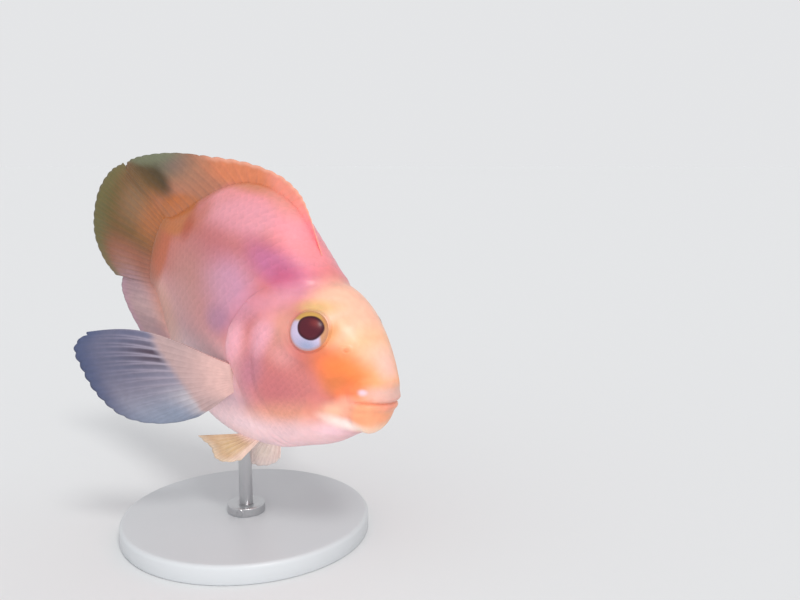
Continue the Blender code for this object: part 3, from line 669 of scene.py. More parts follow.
EYE_ROUND, FRONT_RINGS, BACK_RINGS = 160, 76, 12
EYE_FRONT = 0.52 * np.pi       # the fine rings reach this far down from the cornea's middle
polar = np.concatenate([np.linspace(0, EYE_FRONT, FRONT_RINGS)[1:],
                        np.linspace(EYE_FRONT, np.pi, BACK_RINGS)[1:-1]])
for name, side in (("left", 1), ("right", -1)):
    middle, outward, rear, upward = EYE_FRAMES[side]
    around = np.linspace(0, 2 * np.pi, EYE_ROUND, endpoint=False)
    radius = EYE_RADIUS * np.sin(polar)[:, None] + 0 * around
    height = EYE_HALF_DEPTH * np.cos(polar)[:, None] - EYE_SINK + 0 * around
    along, across = radius * np.cos(around), radius * np.sin(around)
    ball = middle + along[..., None] * rear + across[..., None] * upward + height[..., None] * outward
    poles = [middle + (EYE_HALF_DEPTH - EYE_SINK) * outward, middle - (EYE_HALF_DEPTH + EYE_SINK) * outward]
    vertices = np.concatenate([ball.reshape(-1, 3), poles])
    faces = ring_faces(len(polar), EYE_ROUND, inward=True)
    along = np.append(along.ravel(), [0, 0])
    across = np.append(across.ravel(), [0, 0])
    front = np.append(height.ravel(), [1, -9]) > -EYE_SINK
    from_pupil = np.stack([(along - PUPIL_PLACE[0]) / PUPIL_RADII[0],
                           (across - PUPIL_PLACE[1]) / PUPIL_RADII[1]])
    angle = np.arctan2(from_pupil[1], from_pupil[0])
    off = np.hypot(*from_pupil) - 1
    for size, count, start in PUPIL_LOBES:
        off = off - size * np.sin(count * angle + start)
    way_out = np.hypot(along, across)
    colour = mixed(np.tile(linear(EYE_COLOURS["silver"]), (len(along), 1)), EYE_COLOURS["blue"],
                   0.85 * bump_at(np.hypot((along + 1.8) / 4.2, (across + 4.9) / 2.5), 1.0))
    colour = mixed(colour, EYE_COLOURS["gold"], ease(1.4, 3.2, across + 0.12 * along))
    colour = mixed(colour, EYE_COLOURS["bronze"], 0.9 * ease(-3.9, -5.2, along - 0.35 * across))
    colour = mixed(colour, EYE_COLOURS["rim"], 0.65 * ease(5.6, 6.6, way_out))
    colour = mixed(colour, EYE_COLOURS["pupil_rim"], ease(0.10, -0.02, off))
    colour = mixed(colour, EYE_COLOURS["pupil"], ease(-0.03, -0.25, off))
    # a painted reddish highlight at the upper front of the pupil
    pupil_highlight = bump_at(np.hypot((along + 2.0) / 1.9, (across - 2.9) / 1.3), 1.0)
    colour = mixed(colour, EYE_COLOURS["pupil_highlight"], 0.7 * pupil_highlight * ease(-0.1, -0.3, off))
    colour = np.where(front[:, None], colour, linear(EYE_COLOURS["rim"]))
    eye = new_piece(f"glass_eye_{name}", put_in_place(vertices), faces, glass)
    paint(eye.data, colour)
    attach(eye, "root")
    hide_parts(f"eye_{name}")

# ---------------------------------------------------------------------------------------------------
# Scales: thin plates of horn-like resin, rooted in the hide and lapped backwards like roof tiles, in
# staggered columns round the body; small on cheeks and gill covers, largest on the flank.
COLUMN_STEP, SEAT_STEP = 2.0, 6.4          # mm between columns, and between the seats in a column
SCALE_SIZES = {"Length": 6.8 * MM, "Width": 7.2 * MM, "Root Depth": 0.22 * MM, "Edge Rise": 0.10 * MM,
               "Thickness": 0.08 * MM, "Crown": 0.06 * MM,
               "Patch Size": 0.003}        # the width of a scale's place on the hide's unwrap
# Along the fish: station, and the share of the full size that its scales have.
HEAD_SCALE_SIZE = ((16, 0.46), (36, 0.56), (57, 0.66))
TRUNK_SCALE_SIZE = ((30, 0.74), (48, 0.95), (66, 1.0), (92, 0.92), (112, 0.72), (131, 0.56))
SEAT_JITTER, SIZE_JITTER = 0.08, 0.03      # shares of a scale's size, so that no two lie quite alike
BEHIND_SLIT, BEFORE_SLIT, OFF_EYE = 4.1, 3.9, 10.9     # scales keep this clear of gill slit and eye
RIM_LIGHT, ROOT_SHADE = 0.05, 0.07         # how much lighter a free edge is painted, and a root darker
SCALE_CORNER = math.radians(35)            # plate edges sharper than this stay crisp

# one scale: a closed plate with a rounded front, a fuller rear edge and a slightly crowned top
OUTLINE = 16
edge_turn = np.linspace(0, 2 * np.pi, OUTLINE, endpoint=False)
edge_x = np.cos(edge_turn) * np.where(np.cos(edge_turn) < 0, 1.0, 1 - 0.05 * np.sin(2 * edge_turn)**2)
edge_y = np.sin(edge_turn) * np.where(np.cos(edge_turn) < 0, 0.94, 1.0)
leaf = [(0, 0, 1)]
for reach, level in ((0.62, 1), (1, 0.55), (0.97, 0)):      # crown, edge and underside
    leaf += [(reach * a, reach * b, level) for a, b in zip(edge_x, edge_y)]
leaf += [(0, 0, 0)]
plate_faces = []
for k in range(OUTLINE):
    after = (k + 1) % OUTLINE
    top, edge, under = 1, 1 + OUTLINE, 1 + 2 * OUTLINE
    plate_faces.append((0, top + k, top + after))
    plate_faces.append((top + k, edge + k, edge + after, top + after))
    plate_faces.append((edge + k, under + k, under + after, edge + after))
    plate_faces.append((under + k, 1 + 3 * OUTLINE, under + after))


def store(mesh, name, values, kind="FLOAT_VECTOR", field="vector"):
    """Keeps one value for each of a mesh's points under a name."""
    mesh.attributes.new(name, kind, "POINT").data.foreach_set(field, np.ravel(values))


def vectors_of(entries, field):
    """The vectors that a mesh's vertices, normals or stored entries hold."""
    values = np.zeros(len(entries) * 3, np.float32)
    entries.foreach_get(field, values)
    return values.reshape(-1, 3)


plate_mesh = bpy.data.meshes.new("scale_plate")
plate_mesh.from_pydata([(a, b, 0.05 * c) for a, b, c in leaf], [], plate_faces)
plate_mesh.shade_smooth()
store(plate_mesh, "leaf", leaf)
plate = bpy.data.objects.new("scale_plate", plate_mesh)
bpy.context.scene.collection.objects.link(plate)

# the hide's smooth outward direction, which the scales are laid along
hide_mesh = hide_piece.data
store(hide_mesh, "outward", vectors_of(hide_mesh.vertex_normals, "vector"))


def scale_seats(first, last, size_profile, keep, seed):
    """Staggered places for scales on both sides: world point, outward, rearward, size and unwrap place."""
    jitter = np.random.default_rng(seed)
    rows = []
    x, odd = first, 0
    while x < last:
        size = float(smooth_value(size_profile, x))
        turns = np.linspace(0, np.pi, 361)
        ring = body_point(np.full(len(turns), x), turns)
        arc = np.concatenate([[0], np.cumsum(np.linalg.norm(np.diff(ring, axis=0), axis=1))])
        # more seats than fit the ring, and those past its ends are dropped
        places = arc[len(turns) // 2] + (np.arange(-30, 31) + 0.5 * odd) * SEAT_STEP * size
        places = places[(places > 0.2 * size * SEAT_STEP) & (places < arc[-1] - 0.2 * size * SEAT_STEP)]
        turn = np.interp(places, arc, turns)
        turn = turn[keep(body_point(np.full(len(turn), x), turn), x - gill_slit(turn), size)]
        for sided in (turn, 2 * np.pi - turn):
            moved = jitter.uniform(-SEAT_JITTER, SEAT_JITTER, len(turn))
            grown = jitter.uniform(1 - SIZE_JITTER, 1 + SIZE_JITTER, len(turn))
            rows.append(np.stack([x + moved * size, sided, size * grown], -1))
        x += COLUMN_STEP * size
        odd = 1 - odd
    x, turn, size = np.concatenate(rows).T
    point = put_in_place(body_point(x, turn))
    rearward = put_in_place(body_point(x + 0.4, turn)) - point
    outward = np.cross(rearward, put_in_place(body_point(x, turn + 0.02)) - point)
    heart = put_in_place(np.stack([x, 0 * x, smooth_value(WIDEST_HEIGHT, x)], -1))
    outward *= np.sign((outward * (point - heart)).sum(-1))[:, None]
    unwrapped = np.stack([turn / (2 * np.pi), 0.02 + 0.96 * x / STANDARD_LENGTH], -1)
    return point, outward, rearward, size, unwrapped


def scale_tree(material):
    """Geometry Nodes: a plate at each seat, pressed onto the hide and lifted towards its rear edge."""
    tree = bpy.data.node_groups.new("lapped_scales", "GeometryNodeTree")
    for label, kind in (("Seats", "Geometry"), ("Hide", "Object"), ("Plate", "Object"),
                        *((label, "Float") for label in SCALE_SIZES)):
        tree.interface.new_socket(label, in_out="INPUT", socket_type=f"NodeSocket{kind}")
    tree.interface.new_socket("Scales", in_out="OUTPUT", socket_type="NodeSocketGeometry")
    given = add_node(tree, "NodeGroupInput").outputs

    def attribute(label, kind):
        return add_node(tree, "GeometryNodeInputNamedAttribute", {"Name": label}, data_type=kind).outputs[0]

    def maths(operation, first, second):
        return add_node(tree, "ShaderNodeMath", {0: first, 1: second}, operation=operation).outputs[0]

    def info(label):
        return add_node(tree, "GeometryNodeObjectInfo", {"Object": given[label]}).outputs["Geometry"]

    size = attribute("size", "FLOAT")
    turned = add_node(tree, "FunctionNodeAxesToRotation",
                      {"Primary Axis": attribute("outward", "FLOAT_VECTOR"),
                       "Secondary Axis": attribute("rearward", "FLOAT_VECTOR")},
                      primary_axis="Z", secondary_axis="X").outputs[0]
    stretch = add_node(tree, "ShaderNodeCombineXYZ", {
        "X": maths("MULTIPLY", maths("MULTIPLY", size, given["Length"]), 0.5),
        "Y": maths("MULTIPLY", maths("MULTIPLY", size, given["Width"]), 0.5),
        "Z": MM}).outputs[0]
    set_out = add_node(tree, "GeometryNodeInstanceOnPoints",
                       {"Points": given["Seats"], "Instance": info("Plate"), "Rotation": turned,
                        "Scale": stretch}).outputs[0]
    solid = add_node(tree, "GeometryNodeRealizeInstances", {"Geometry": set_out}).outputs[0]

    # each corner of a plate lies on the hide, at a height that grows from its root to its free edge
    hide_shape = info("Hide")
    foot = add_node(tree, "GeometryNodeSampleNearestSurface",
                    {"Mesh": hide_shape, "Value": add_node(tree, "GeometryNodeInputPosition").outputs[0]},
                    data_type="FLOAT_VECTOR").outputs["Value"]
    away = add_node(tree, "GeometryNodeSampleNearestSurface",
                    {"Mesh": hide_shape, "Value": attribute("outward", "FLOAT_VECTOR")},
                    data_type="FLOAT_VECTOR").outputs["Value"]
    away = add_node(tree, "ShaderNodeVectorMath", {0: away}, operation="NORMALIZE").outputs[0]
    along, across, level = add_node(tree, "ShaderNodeSeparateXYZ",
                                    {0: attribute("leaf", "FLOAT_VECTOR")}).outputs
    share = maths("MULTIPLY", maths("ADD", along, 1.0), 0.5)
    climb = maths("MULTIPLY", share, maths("ADD", given["Root Depth"], given["Edge Rise"]))
    lift = maths("SUBTRACT", climb, given["Root Depth"])
    lift = maths("ADD", lift, maths("MULTIPLY", level, given["Thickness"]))
    lift = maths("SUBTRACT", lift, maths("MULTIPLY", maths("MULTIPLY", across, across), given["Crown"]))
    lift = maths("MULTIPLY", lift, size)
    offset = add_node(tree, "ShaderNodeVectorMath", {0: away, "Scale": lift}, operation="SCALE").outputs[0]
    spot = add_node(tree, "ShaderNodeVectorMath", {0: foot, 1: offset}, operation="ADD").outputs[0]
    laid = add_node(tree, "GeometryNodeSetPosition", {"Geometry": solid, "Position": spot}).outputs[0]

    # bake map: a small patch for each scale, at its root's place on the hide's unwrap
    step = maths("MULTIPLY", given["Patch Size"], 0.5)
    in_patch = add_node(tree, "ShaderNodeCombineXYZ", {"X": maths("MULTIPLY", across, step),
                                                       "Y": maths("MULTIPLY", along, step)}).outputs[0]
    mapped = add_node(tree, "ShaderNodeVectorMath", {0: attribute("unwrap", "FLOAT_VECTOR"), 1: in_patch},
                      operation="ADD").outputs[0]
    stored = add_node(tree, "GeometryNodeStoreNamedAttribute",
                      {"Geometry": laid, "Name": "OFBake", "Value": mapped},
                      data_type="FLOAT2", domain="CORNER").outputs[0]
    painted = add_node(tree, "GeometryNodeSetMaterial",
                       {"Geometry": stored, "Material": material}).outputs[0]
    add_node(tree, "NodeGroupOutput", {"Scales": painted})
    return tree


def on_fish(points):
    """World points (metres) back in the fish's own straight frame (mm)."""
    forward, side, z = np.moveaxis((np.asarray(points, float) / MM - LIFT) @ POSE, -1, 0)
    radius = BEND_LENGTH / BEND_ANGLE
    behind = MIDDLE - BEND_START - forward
    turn = np.arctan2(behind, side + radius)
    straight = behind < 0
    x = np.where(straight, MIDDLE - forward, BEND_START + radius * turn)
    y = np.where(straight, side, np.hypot(behind, side + radius) - radius)
    return np.stack([x, y, z], -1)


def lay_scales(name, seats, tree):
    """Runs the tree on a set of seats and keeps the result as a plain painted mesh."""
    point, outward, rearward, size, unwrapped = seats
    base = bpy.data.meshes.new("seats")
    base.from_pydata(point.tolist(), [], [])
    store(base, "outward", outward)
    store(base, "rearward", rearward)
    store(base, "unwrap", np.pad(unwrapped, ((0, 0), (0, 1))))
    store(base, "size", size, "FLOAT", "value")
    carrier = bpy.data.objects.new("seats", base)
    bpy.context.scene.collection.objects.link(carrier)
    change = carrier.modifiers.new("scales", "NODES")
    change.node_group = tree
    given = {"Hide": hide_piece, "Plate": plate, **SCALE_SIZES}
    for socket in tree.interface.items_tree:
        if socket.name in given:
            change[socket.identifier] = given[socket.name]
    laid = carrier.evaluated_get(bpy.context.evaluated_depsgraph_get())
    mesh = bpy.data.meshes.new_from_object(laid)
    carrier.modifiers.remove(change)
    bpy.data.objects.remove(carrier)
    mesh.name = name
    mesh.shade_smooth()
    mesh.set_sharp_from_angle(angle=SCALE_CORNER)
    piece = bpy.data.objects.new(name, mesh)
    bpy.context.scene.collection.objects.link(piece)

    x, _, z = on_fish(vectors_of(mesh.vertices, "co")).T
    along, across, _ = vectors_of(mesh.attributes["leaf"].data, "vector").T
    shade = 1 + RIM_LIGHT * ease(0.72, 1.0, np.hypot(along, across)) - ROOT_SHADE * ease(0.35, -0.35, along)
    paint(mesh, np.clip(markings(x, z) * shade[:, None], 0, 1))
    for label in ("outward", "rearward", "unwrap", "size"):
        if label in mesh.attributes:
            mesh.attributes.remove(mesh.attributes[label])
    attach(piece, "root")
    return piece


# painted and lacquered resin: each plate's low rim catches a thin line of light
horn, tree, shader, place = new_material(
    "painted_scale_resin", Roughness=0.38, Specular_IOR_Level=0.3, Coat_Weight=0.25, Coat_Roughness=0.2,
    Subsurface_Weight=0.12, Subsurface_Scale=0.003, Subsurface_Radius=(1.0, 0.45, 0.3))
# flecks of pigment under the lacquer, about 1.5 mm across
show_markings(tree, shader, place, 650.0, (0.95, 1.04))
# growth rings about 0.35 mm apart, drawn along each scale's own shape
on_leaf = add_node(tree, "ShaderNodeAttribute", attribute_name="leaf").outputs["Vector"]
rings = add_node(tree, "ShaderNodeTexWave", {"Vector": on_leaf, "Scale": 1.6, "Distortion": 0.6},
                 wave_type="RINGS", rings_direction="Z")
ring_dent = add_node(tree, "ShaderNodeBump", {"Height": rings.outputs["Fac"], "Strength": 0.10,
                                              "Distance": 0.00005})
tree.links.new(ring_dent.outputs["Normal"], shader.inputs["Normal"])


def on_trunk(points, behind, size):
    """Whether a seat is on the trunk, clear of the gill slit."""
    return behind > BEHIND_SLIT * size


def on_cheek(points, behind, size):
    """Whether a seat is on the scaled part of the head, clear of the gill slit and the eye."""
    clear = (behind < -BEFORE_SLIT * size) & (eye_distance(points) > OFF_EYE)
    return clear & (scaled(points, behind) > 0.6)


trunk_seats = scale_seats(28.0, 128.5, TRUNK_SCALE_SIZE, on_trunk, seed=7)
head_seats = scale_seats(17.0, 57.0, HEAD_SCALE_SIZE, on_cheek, seed=11)
tree = scale_tree(horn)
for name, seats, slot in (("body_scales", trunk_seats, "flank_skin"),
                          ("cheek_scales", head_seats, "cheek_skin")):
    lay_scales(name, seats, tree)
bpy.data.objects.remove(plate)
hide_mesh.attributes.remove(hide_mesh.attributes["outward"])

# ---------------------------------------------------------------------------------------------------
# Fins on the middle line: back, tail and anal fin. Thin cast webs over tapering rays; the front rays
# are stiff spines, the rest branch towards an edge that is left thin and lets light through.
FIN_ROOT_SINK = 2.0
WEB_HALF, RAY_HALF, FOOT_HALF = 0.13, 0.34, 0.95       # half thicknesses in mm
RAY_WIDTH, SPINE_WIDTH, RAY_SPLIT = 0.15, 0.17, 0.22   # shares of the gap between one ray and the next
PER_RAY = 10                                           # mesh columns between one ray and the next
DORSAL_BASE, ANAL_BASE, TAIL_ROOT = (43, 125.8), (80, 126.6), ((127, 20.0), (127, -7.6))
DORSAL_EDGE = ((42.5, 31), (48.5, 37.6), (55, 43.8), (62, 48.4), (74, 51.6), (92, 51.8), (112, 49.2),
               (132, 45.6), (147, 41), (156, 36.4), (157, 32.3))
ANAL_EDGE = ((80, -43.5), (88, -47.5), (100, -43.8), (114, -36.5), (130, -28.2), (141, -21.5),
             (147.2, -15.6), (148, -9.8))
TAIL_EDGE = ((162.5, 34), (169.5, 28.6), (173.5, 19.5), (172.5, 9), (168, 0), (159.5, -7.5), (151, -11.8))
DORSAL_COLOURS = {"rays": "#D9785A", "front_rim": "#E6A48C", "rear_tip": "#757A5F", "rear_foot": "#A46C50"}

# thin tinted resin: a satin skin that turns glassy towards the fin's edge
fin_web, tree, shader, place = new_material("translucent_fin_resin", Roughness=0.4, Specular_IOR_Level=0.25,
                                            Coat_Weight=0.1, Coat_Roughness=0.2)
# cloudy pigment in the web, about 2 mm across
show_markings(tree, shader, place, 480.0, (0.94, 1.06))
# the web lets light through towards its edge
web_opacity = add_node(tree, "ShaderNodeAttribute", attribute_name="opacity").outputs["Fac"]
tree.links.new(web_opacity, shader.inputs["Alpha"])


def along_path(path, share, axis):
    """One coordinate of the smooth curve through a path's points, at shares of 0 to 1 along it."""
    return smooth_value([(k, p[axis]) for k, p in enumerate(path)], share * (len(path) - 1))


def fin_piece(name, surface, rays, spines, steps, shade, notch=(0.05, 0.012), per_ray=PER_RAY, fleshy=0.0):
    """A closed two-sided fin: surface(u, v) gives its mid-plane, shade its colour and opacity.

    notch is how far the web falls back between two spines and two rays, as a share of their length.
    Up to the share fleshy of their length the rays are buried in flesh."""
    u = np.linspace(0, 1, (rays - 1) * per_ray + 1)
    v = np.linspace(0, 1, steps + 1)**0.85          # rows a little closer towards the edge
    u, v = np.meshgrid(u, v, indexing="ij")
    nearest = np.round(u * (rays - 1))
    off = u * (rays - 1) - nearest
    soft = nearest >= spines
    split = RAY_SPLIT * ease(0.35, 0.9, v) * soft
    width = np.where(soft, RAY_WIDTH, SPINE_WIDTH) * (1 - 0.25 * v)
    ridge = np.maximum(bump_at(off - split, width), bump_at(off + split, width))
    reach = 1 - np.where(soft, notch[1], notch[0]) * (2 * np.abs(off))**1.6
    spots = surface(u, v * reach)
    placed = put_in_place(spots)
    normal = np.cross(np.gradient(placed, axis=0), np.gradient(placed, axis=1))
    normal /= np.maximum(np.linalg.norm(normal, axis=-1, keepdims=True), 1e-12)
    buried = ease(1.3 * fleshy, 0.5 * fleshy, v) if fleshy else 0.0
    half = WEB_HALF + RAY_HALF * (1 - 0.8 * v) * ridge * (1 - 0.85 * buried) + 0.3 * buried
    half += FOOT_HALF * np.exp(-v * 11)             # the foot flares into the hide
    half *= 0.4 + 0.6 * ease(1.0, 0.965, v)         # the outer edge thins to a rounded lip
    half[[0, -1]] *= 0.45                           # and so do the first and the last ray
    offset = normal * half[..., None] * MM
    vertices = np.concatenate([(placed + offset).reshape(-1, 3), (placed - offset).reshape(-1, 3)])
    grid = np.arange(u.size).reshape(u.shape)
    near = np.stack([grid[:-1, :-1], grid[1:, :-1], grid[1:, 1:], grid[:-1, 1:]], -1).reshape(-1, 4)
    loop = np.concatenate([grid[:, 0], grid[-1, 1:], grid[-2::-1, -1], grid[0, -2:0:-1]])
    after = np.roll(loop, -1)
    rim = np.stack([after, loop, loop + u.size, after + u.size], -1)
    piece = new_piece(f"{name}_web", vertices, np.concatenate([near, near[:, ::-1] + u.size, rim]), fin_web)
    colour, opacity = shade(u, v, ridge, spots[..., 0], spots[..., 2])
    paint(piece.data, np.clip(np.tile(colour.reshape(-1, 3), (2, 1)), 0, 1))
    store(piece.data, "opacity", np.tile(np.clip(opacity, 0, 1).ravel(), 2), "FLOAT", "value")
    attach(piece, "root")
    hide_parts(name)


def straight_root(ends):
    """Foot of a fin along the straight line between two places on the side view."""
    (x, z), (end_x, end_z) = ends
    return lambda u: (x + (end_x - x) * u, z + (end_z - z) * u)


def sunk_root(base, profile, sink):
    """Foot of a fin that follows the back or belly line, sunk into the hide."""
    def foot(u):
        x = base[0] + (base[1] - base[0]) * u
        return x, smooth_value(profile, x) + sink
    return foot


def middle_surface(foot, edge, sway, waves=5.5, phase=2.0):
    """Mid-plane of a fin on the middle line from its foot to its edge, with a slight wave across."""
    def surface(u, v):
        x, z = foot(u)
        tip_x, tip_z = along_path(edge, u, 0), along_path(edge, u, 1)
        y = sway * v**2 * np.sin(waves * u + phase)
        return np.stack([x + (tip_x - x) * v, y, z + (tip_z - z) * v], -1)
    return surface


def middle_shade(ray_colour, ray_cover, rim_colour, rim_from, clear):
    """Painted like the flank beside it, with toned rays, a paler rim and a clearer outer web."""
    def shade(u, v, ridge, x, z):
        colour = markings(x, z)
        colour = mixed(colour, ray_colour, ray_cover * ridge * ease(0.15, 0.5, v))
        colour = mixed(colour, rim_colour, 0.7 * ease(rim_from, 0.97, v))
        opacity = 1 - clear * ease(0.35, 0.95, v) * (1 - 0.5 * ridge) * ease(0.15, 0.6, u)
        return colour, opacity
    return shade


def dorsal_shade(u, v, ridge, x, z):
    """Painted like the back, with warm rays, a pale rim in front and an olive tip."""
    on_rays = 0.2 * ridge * ease(0.2, 0.6, v) * ease(125, 105, x)
    colour = mixed(markings(x, z), DORSAL_COLOURS["rays"], on_rays)
    colour = mixed(colour, DORSAL_COLOURS["front_rim"], 0.8 * ease(0.78, 0.97, v) * ease(122, 104, x))
    on_tip = 0.8 * ease(0.7, 0.95, v) * ease(122, 138, x) * ease(34.6, 37.6, z)
    colour = mixed(colour, DORSAL_COLOURS["rear_tip"], on_tip)
    colour = mixed(colour, DORSAL_COLOURS["rear_foot"], 0.55 * ease(0.4, 0.1, v) * ease(100, 112, x))
    opacity = 1 - 0.15 * ease(0.5, 0.95, v) * (1 - 0.5 * ridge) * ease(100, 135, x)
    return colour, opacity


dorsal_surface = middle_surface(sunk_root(DORSAL_BASE, BACK, -FIN_ROOT_SINK), DORSAL_EDGE, sway=-1.4)
anal_surface = middle_surface(sunk_root(ANAL_BASE, BELLY, FIN_ROOT_SINK), ANAL_EDGE, sway=0.8)
tail_surface = middle_surface(straight_root(TAIL_ROOT), TAIL_EDGE, sway=1.5, waves=4.5, phase=1.3)
fin_piece("dorsal_fin", dorsal_surface, rays=27, spines=17, steps=26, shade=dorsal_shade)
fin_piece("anal_fin", anal_surface, rays=17, spines=8, steps=24, shade=middle_shade(
    ray_colour="#C8A09C", ray_cover=0.12, rim_colour="#AE8A99", rim_from=0.8, clear=0.15))
fin_piece("tail_fin", tail_surface, rays=17, spines=0, steps=30, per_ray=12, shade=middle_shade(
    ray_colour="#8E5C38", ray_cover=0.25, rim_colour="#646138", rim_from=0.78, clear=0.18))

# ---------------------------------------------------------------------------------------------------
# Paired fins: broad lavender pectoral fans held out from the flanks, and small cream pelvic fins
# folded under the breast. Cast thin like the others, with a fleshy root let into the hide.
PECTORAL_ROOT = ((55.0, -12.5), (53.5, -23.0))
# Rays from the first: share of the root, elevation in degrees, length.
PECTORAL_RAYS = ((0, 1.0, 48.5), (0.12, -3.5, 52.0), (0.3, -11.0, 49.5), (0.5, -21.0, 45.0),
                 (0.7, -31.5, 37.5), (0.87, -41.0, 26.0), (1, -50.0, 14.0))
PECTORAL_OUT, PECTORAL_CAMBER, PECTORAL_ARCH = math.radians(45), 3.0, 5.5
PECTORAL_COLOURS = {"flesh": "#CDA7A1", "flesh_end": "#A98F8E", "web": "#8A8492", "front_web": "#5E5F77",
                    "lower_root": "#B4AEB2", "lower_web": "#808CA0", "edge": "#3F4B6E",
                    "see_through_dark": "#3E2C38", "ray": "#B0A2AE"}
PELVIC_ROOT = ((46.5, -39.2), (55.0, -41.0))
PELVIC_SIDE, PELVIC_SPLAY = 5.0, math.radians(16)
PELVIC_RAYS = {"right": ((0, -67, 11.0), (0.15, -60, 14.3), (0.4, -49, 18.6), (0.72, -36, 18.2),
                         (1, -24, 19.8)),
               "left": ((0, -86, 10.5), (0.45, -65, 21.5), (1, -51, 24.0))}
# Each fin's main colour, the colour at its heart and the colour of its edge.
# The left fin lies in shade under the body, so its colours are painted paler than the right's: painted
# light.
PELVIC_COLOURS = {"right": ("#D0AC8C", "#C8A97C", "#E6CFB6"), "left": ("#F8E0DA", "#EAD8C8", "#F8E8E0")}
PELVIC_ROOT_PINK, PELVIC_FRONT_CREAM = "#F2CFCD", "#F0D2C8"
# The flesh at the pectoral's root, coloured like the flank, ends at this share of each ray.
FLESH_END = ((0, 0.58), (0.12, 0.50), (0.3, 0.43), (0.5, 0.39), (0.7, 0.40), (0.85, 0.48), (1, 0.75))


def ray_profile(rays, column, u):
    """A ray's elevation or length, from the table of rays, at shares u along the fin's root."""
    return smooth_value([(ray[0], ray[column]) for ray in rays], u)


def pectoral_surface(side):
    """Mid-plane of a breast fin: a cupped fan that stands out from the flank."""
    def surface(u, v):
        x, z = straight_root(PECTORAL_ROOT)(u)
        rise = np.radians(ray_profile(PECTORAL_RAYS, 1, u))
        ray = np.stack([np.cos(rise) * math.cos(PECTORAL_OUT), side * np.cos(rise) * math.sin(PECTORAL_OUT),
                        np.sin(rise)], -1)
        start = np.stack([x, side * half_width_at(x, z), z], -1)
        length = ray_profile(PECTORAL_RAYS, 2, u)
        across = np.array([-math.sin(PECTORAL_OUT), side * math.cos(PECTORAL_OUT), 0])
        bulge = PECTORAL_CAMBER * np.sin(np.pi * v) * (1 - 0.5 * u) + 0.5 * v**2 * np.sin(9 * u)
        arch = PECTORAL_ARCH * np.sin(np.pi * v**1.3) * (1 - u)**1.5
        reach = v * (length + FIN_ROOT_SINK) - FIN_ROOT_SINK
        lifted = arch[..., None] * np.array([0, 0, 1])
        return start + ray * reach[..., None] + across * bulge[..., None] + lifted
    return surface


def pelvic_surface(side, rays):
    """Mid-plane of a belly fin: a small folded fan that hangs back under the breast."""
    def surface(u, v):
        x, z = straight_root(PELVIC_ROOT)(u)
        rise = np.radians(ray_profile(rays, 1, u))
        ray = np.stack([np.cos(rise), 0 * u + side * math.sin(PELVIC_SPLAY), np.sin(rise)], -1)
        ray /= np.linalg.norm(ray, axis=-1, keepdims=True)
        start = np.stack([x, 0 * u + side * PELVIC_SIDE, z], -1)
        across = np.array([-math.sin(PELVIC_SPLAY), side * math.cos(PELVIC_SPLAY), 0])
        fold = 0.9 * v**1.5 * np.sin(7 * u + 0.5)
        reach = v * (ray_profile(rays, 2, u) + FIN_ROOT_SINK) - FIN_ROOT_SINK
        return start + ray * reach[..., None] + across * fold[..., None]
    return surface


def plain(shade, u):
    """One hex shade as a linear colour for every place in u."""
    return np.tile(linear(shade), (*u.shape, 1))


def pectoral_shade(u, v, ridge, x, z):
    """Flesh-coloured root, then a lavender web that darkens towards its front edge."""
    colours = PECTORAL_COLOURS
    beyond = v - smooth_value(FLESH_END, u)
    flesh = mixed(plain(colours["flesh"], u), colours["flesh_end"], ease(0.1, 0.4, v))
    web = mixed(plain(colours["web"], u), colours["front_web"], ease(0.3, 0.75, v) * ease(0.75, 0.25, u))
    web = mixed(web, colours["lower_root"], 0.7 * ease(0.3, 0.0, beyond) * ease(0.45, 0.7, u))
    web = mixed(web, colours["lower_web"], 0.8 * ease(0.45, 0.85, u) * ease(0.0, 0.25, beyond))
    web = mixed(web, colours["edge"], 0.8 * ease(0.84, 1.0, v) * ease(0.9, 0.45, u))
    # the clear web between the second and the sixth ray is painted dark just beyond the flesh: painted
    # darkness of a dark background seen through it
    streak = bump_at((u - 0.2) / 0.11, 1.0) * ease(0.0, 0.05, beyond) * ease(0.85, 0.5, v)
    web = mixed(web, colours["see_through_dark"], 0.9 * streak * (1 - ridge)**1.2)
    web = mixed(web, colours["ray"], 0.45 * ridge * ease(0.75, 0.2, u) * ease(0.95, 0.5, v))
    colour = flesh + (web - flesh) * ease(-0.03, 0.04, beyond)[..., None]
    opacity = 1 - 0.16 * ease(0.0, 0.3, beyond) * (1 - 0.4 * ridge)
    return colour, opacity


def pelvic_shade(lobe, heart, edge):
    """Cream web with a pink root, a darker heart and paler rays and edge."""
    def shade(u, v, ridge, x, z):
        colour = mixed(plain(lobe, u), PELVIC_ROOT_PINK, ease(0.4, 0.05, v))
        colour = mixed(colour, heart, 0.7 * bump_at(np.hypot((u - 0.5) / 0.35, (v - 0.62) / 0.22), 1.0))
        colour = mixed(colour, PELVIC_FRONT_CREAM, 0.7 * ease(0.3, 0.05, u))
        on_rays = 0.3 * ridge * ease(0.3, 0.6, v) * ease(0.8, 0.7, v)
        colour = mixed(colour, edge, 0.7 * ease(0.8, 1.0, v) + on_rays)
        return colour, 1 - 0.3 * ease(0.6, 1.0, v) * (1 - 0.5 * ridge)
    return shade


for name, side in (("left", 1), ("right", -1)):
    fin_piece(f"pectoral_fin_{name}", pectoral_surface(side), rays=15, spines=1, steps=34,
              shade=pectoral_shade, notch=(0.03, 0.012), per_ray=12, fleshy=0.42)
    fin_piece(f"pelvic_fin_{name}", pelvic_surface(side, PELVIC_RAYS[name]), rays=8, spines=1, steps=22,
              shade=pelvic_shade(*PELVIC_COLOURS[name]), notch=(0.04, 0.02), per_ray=12)

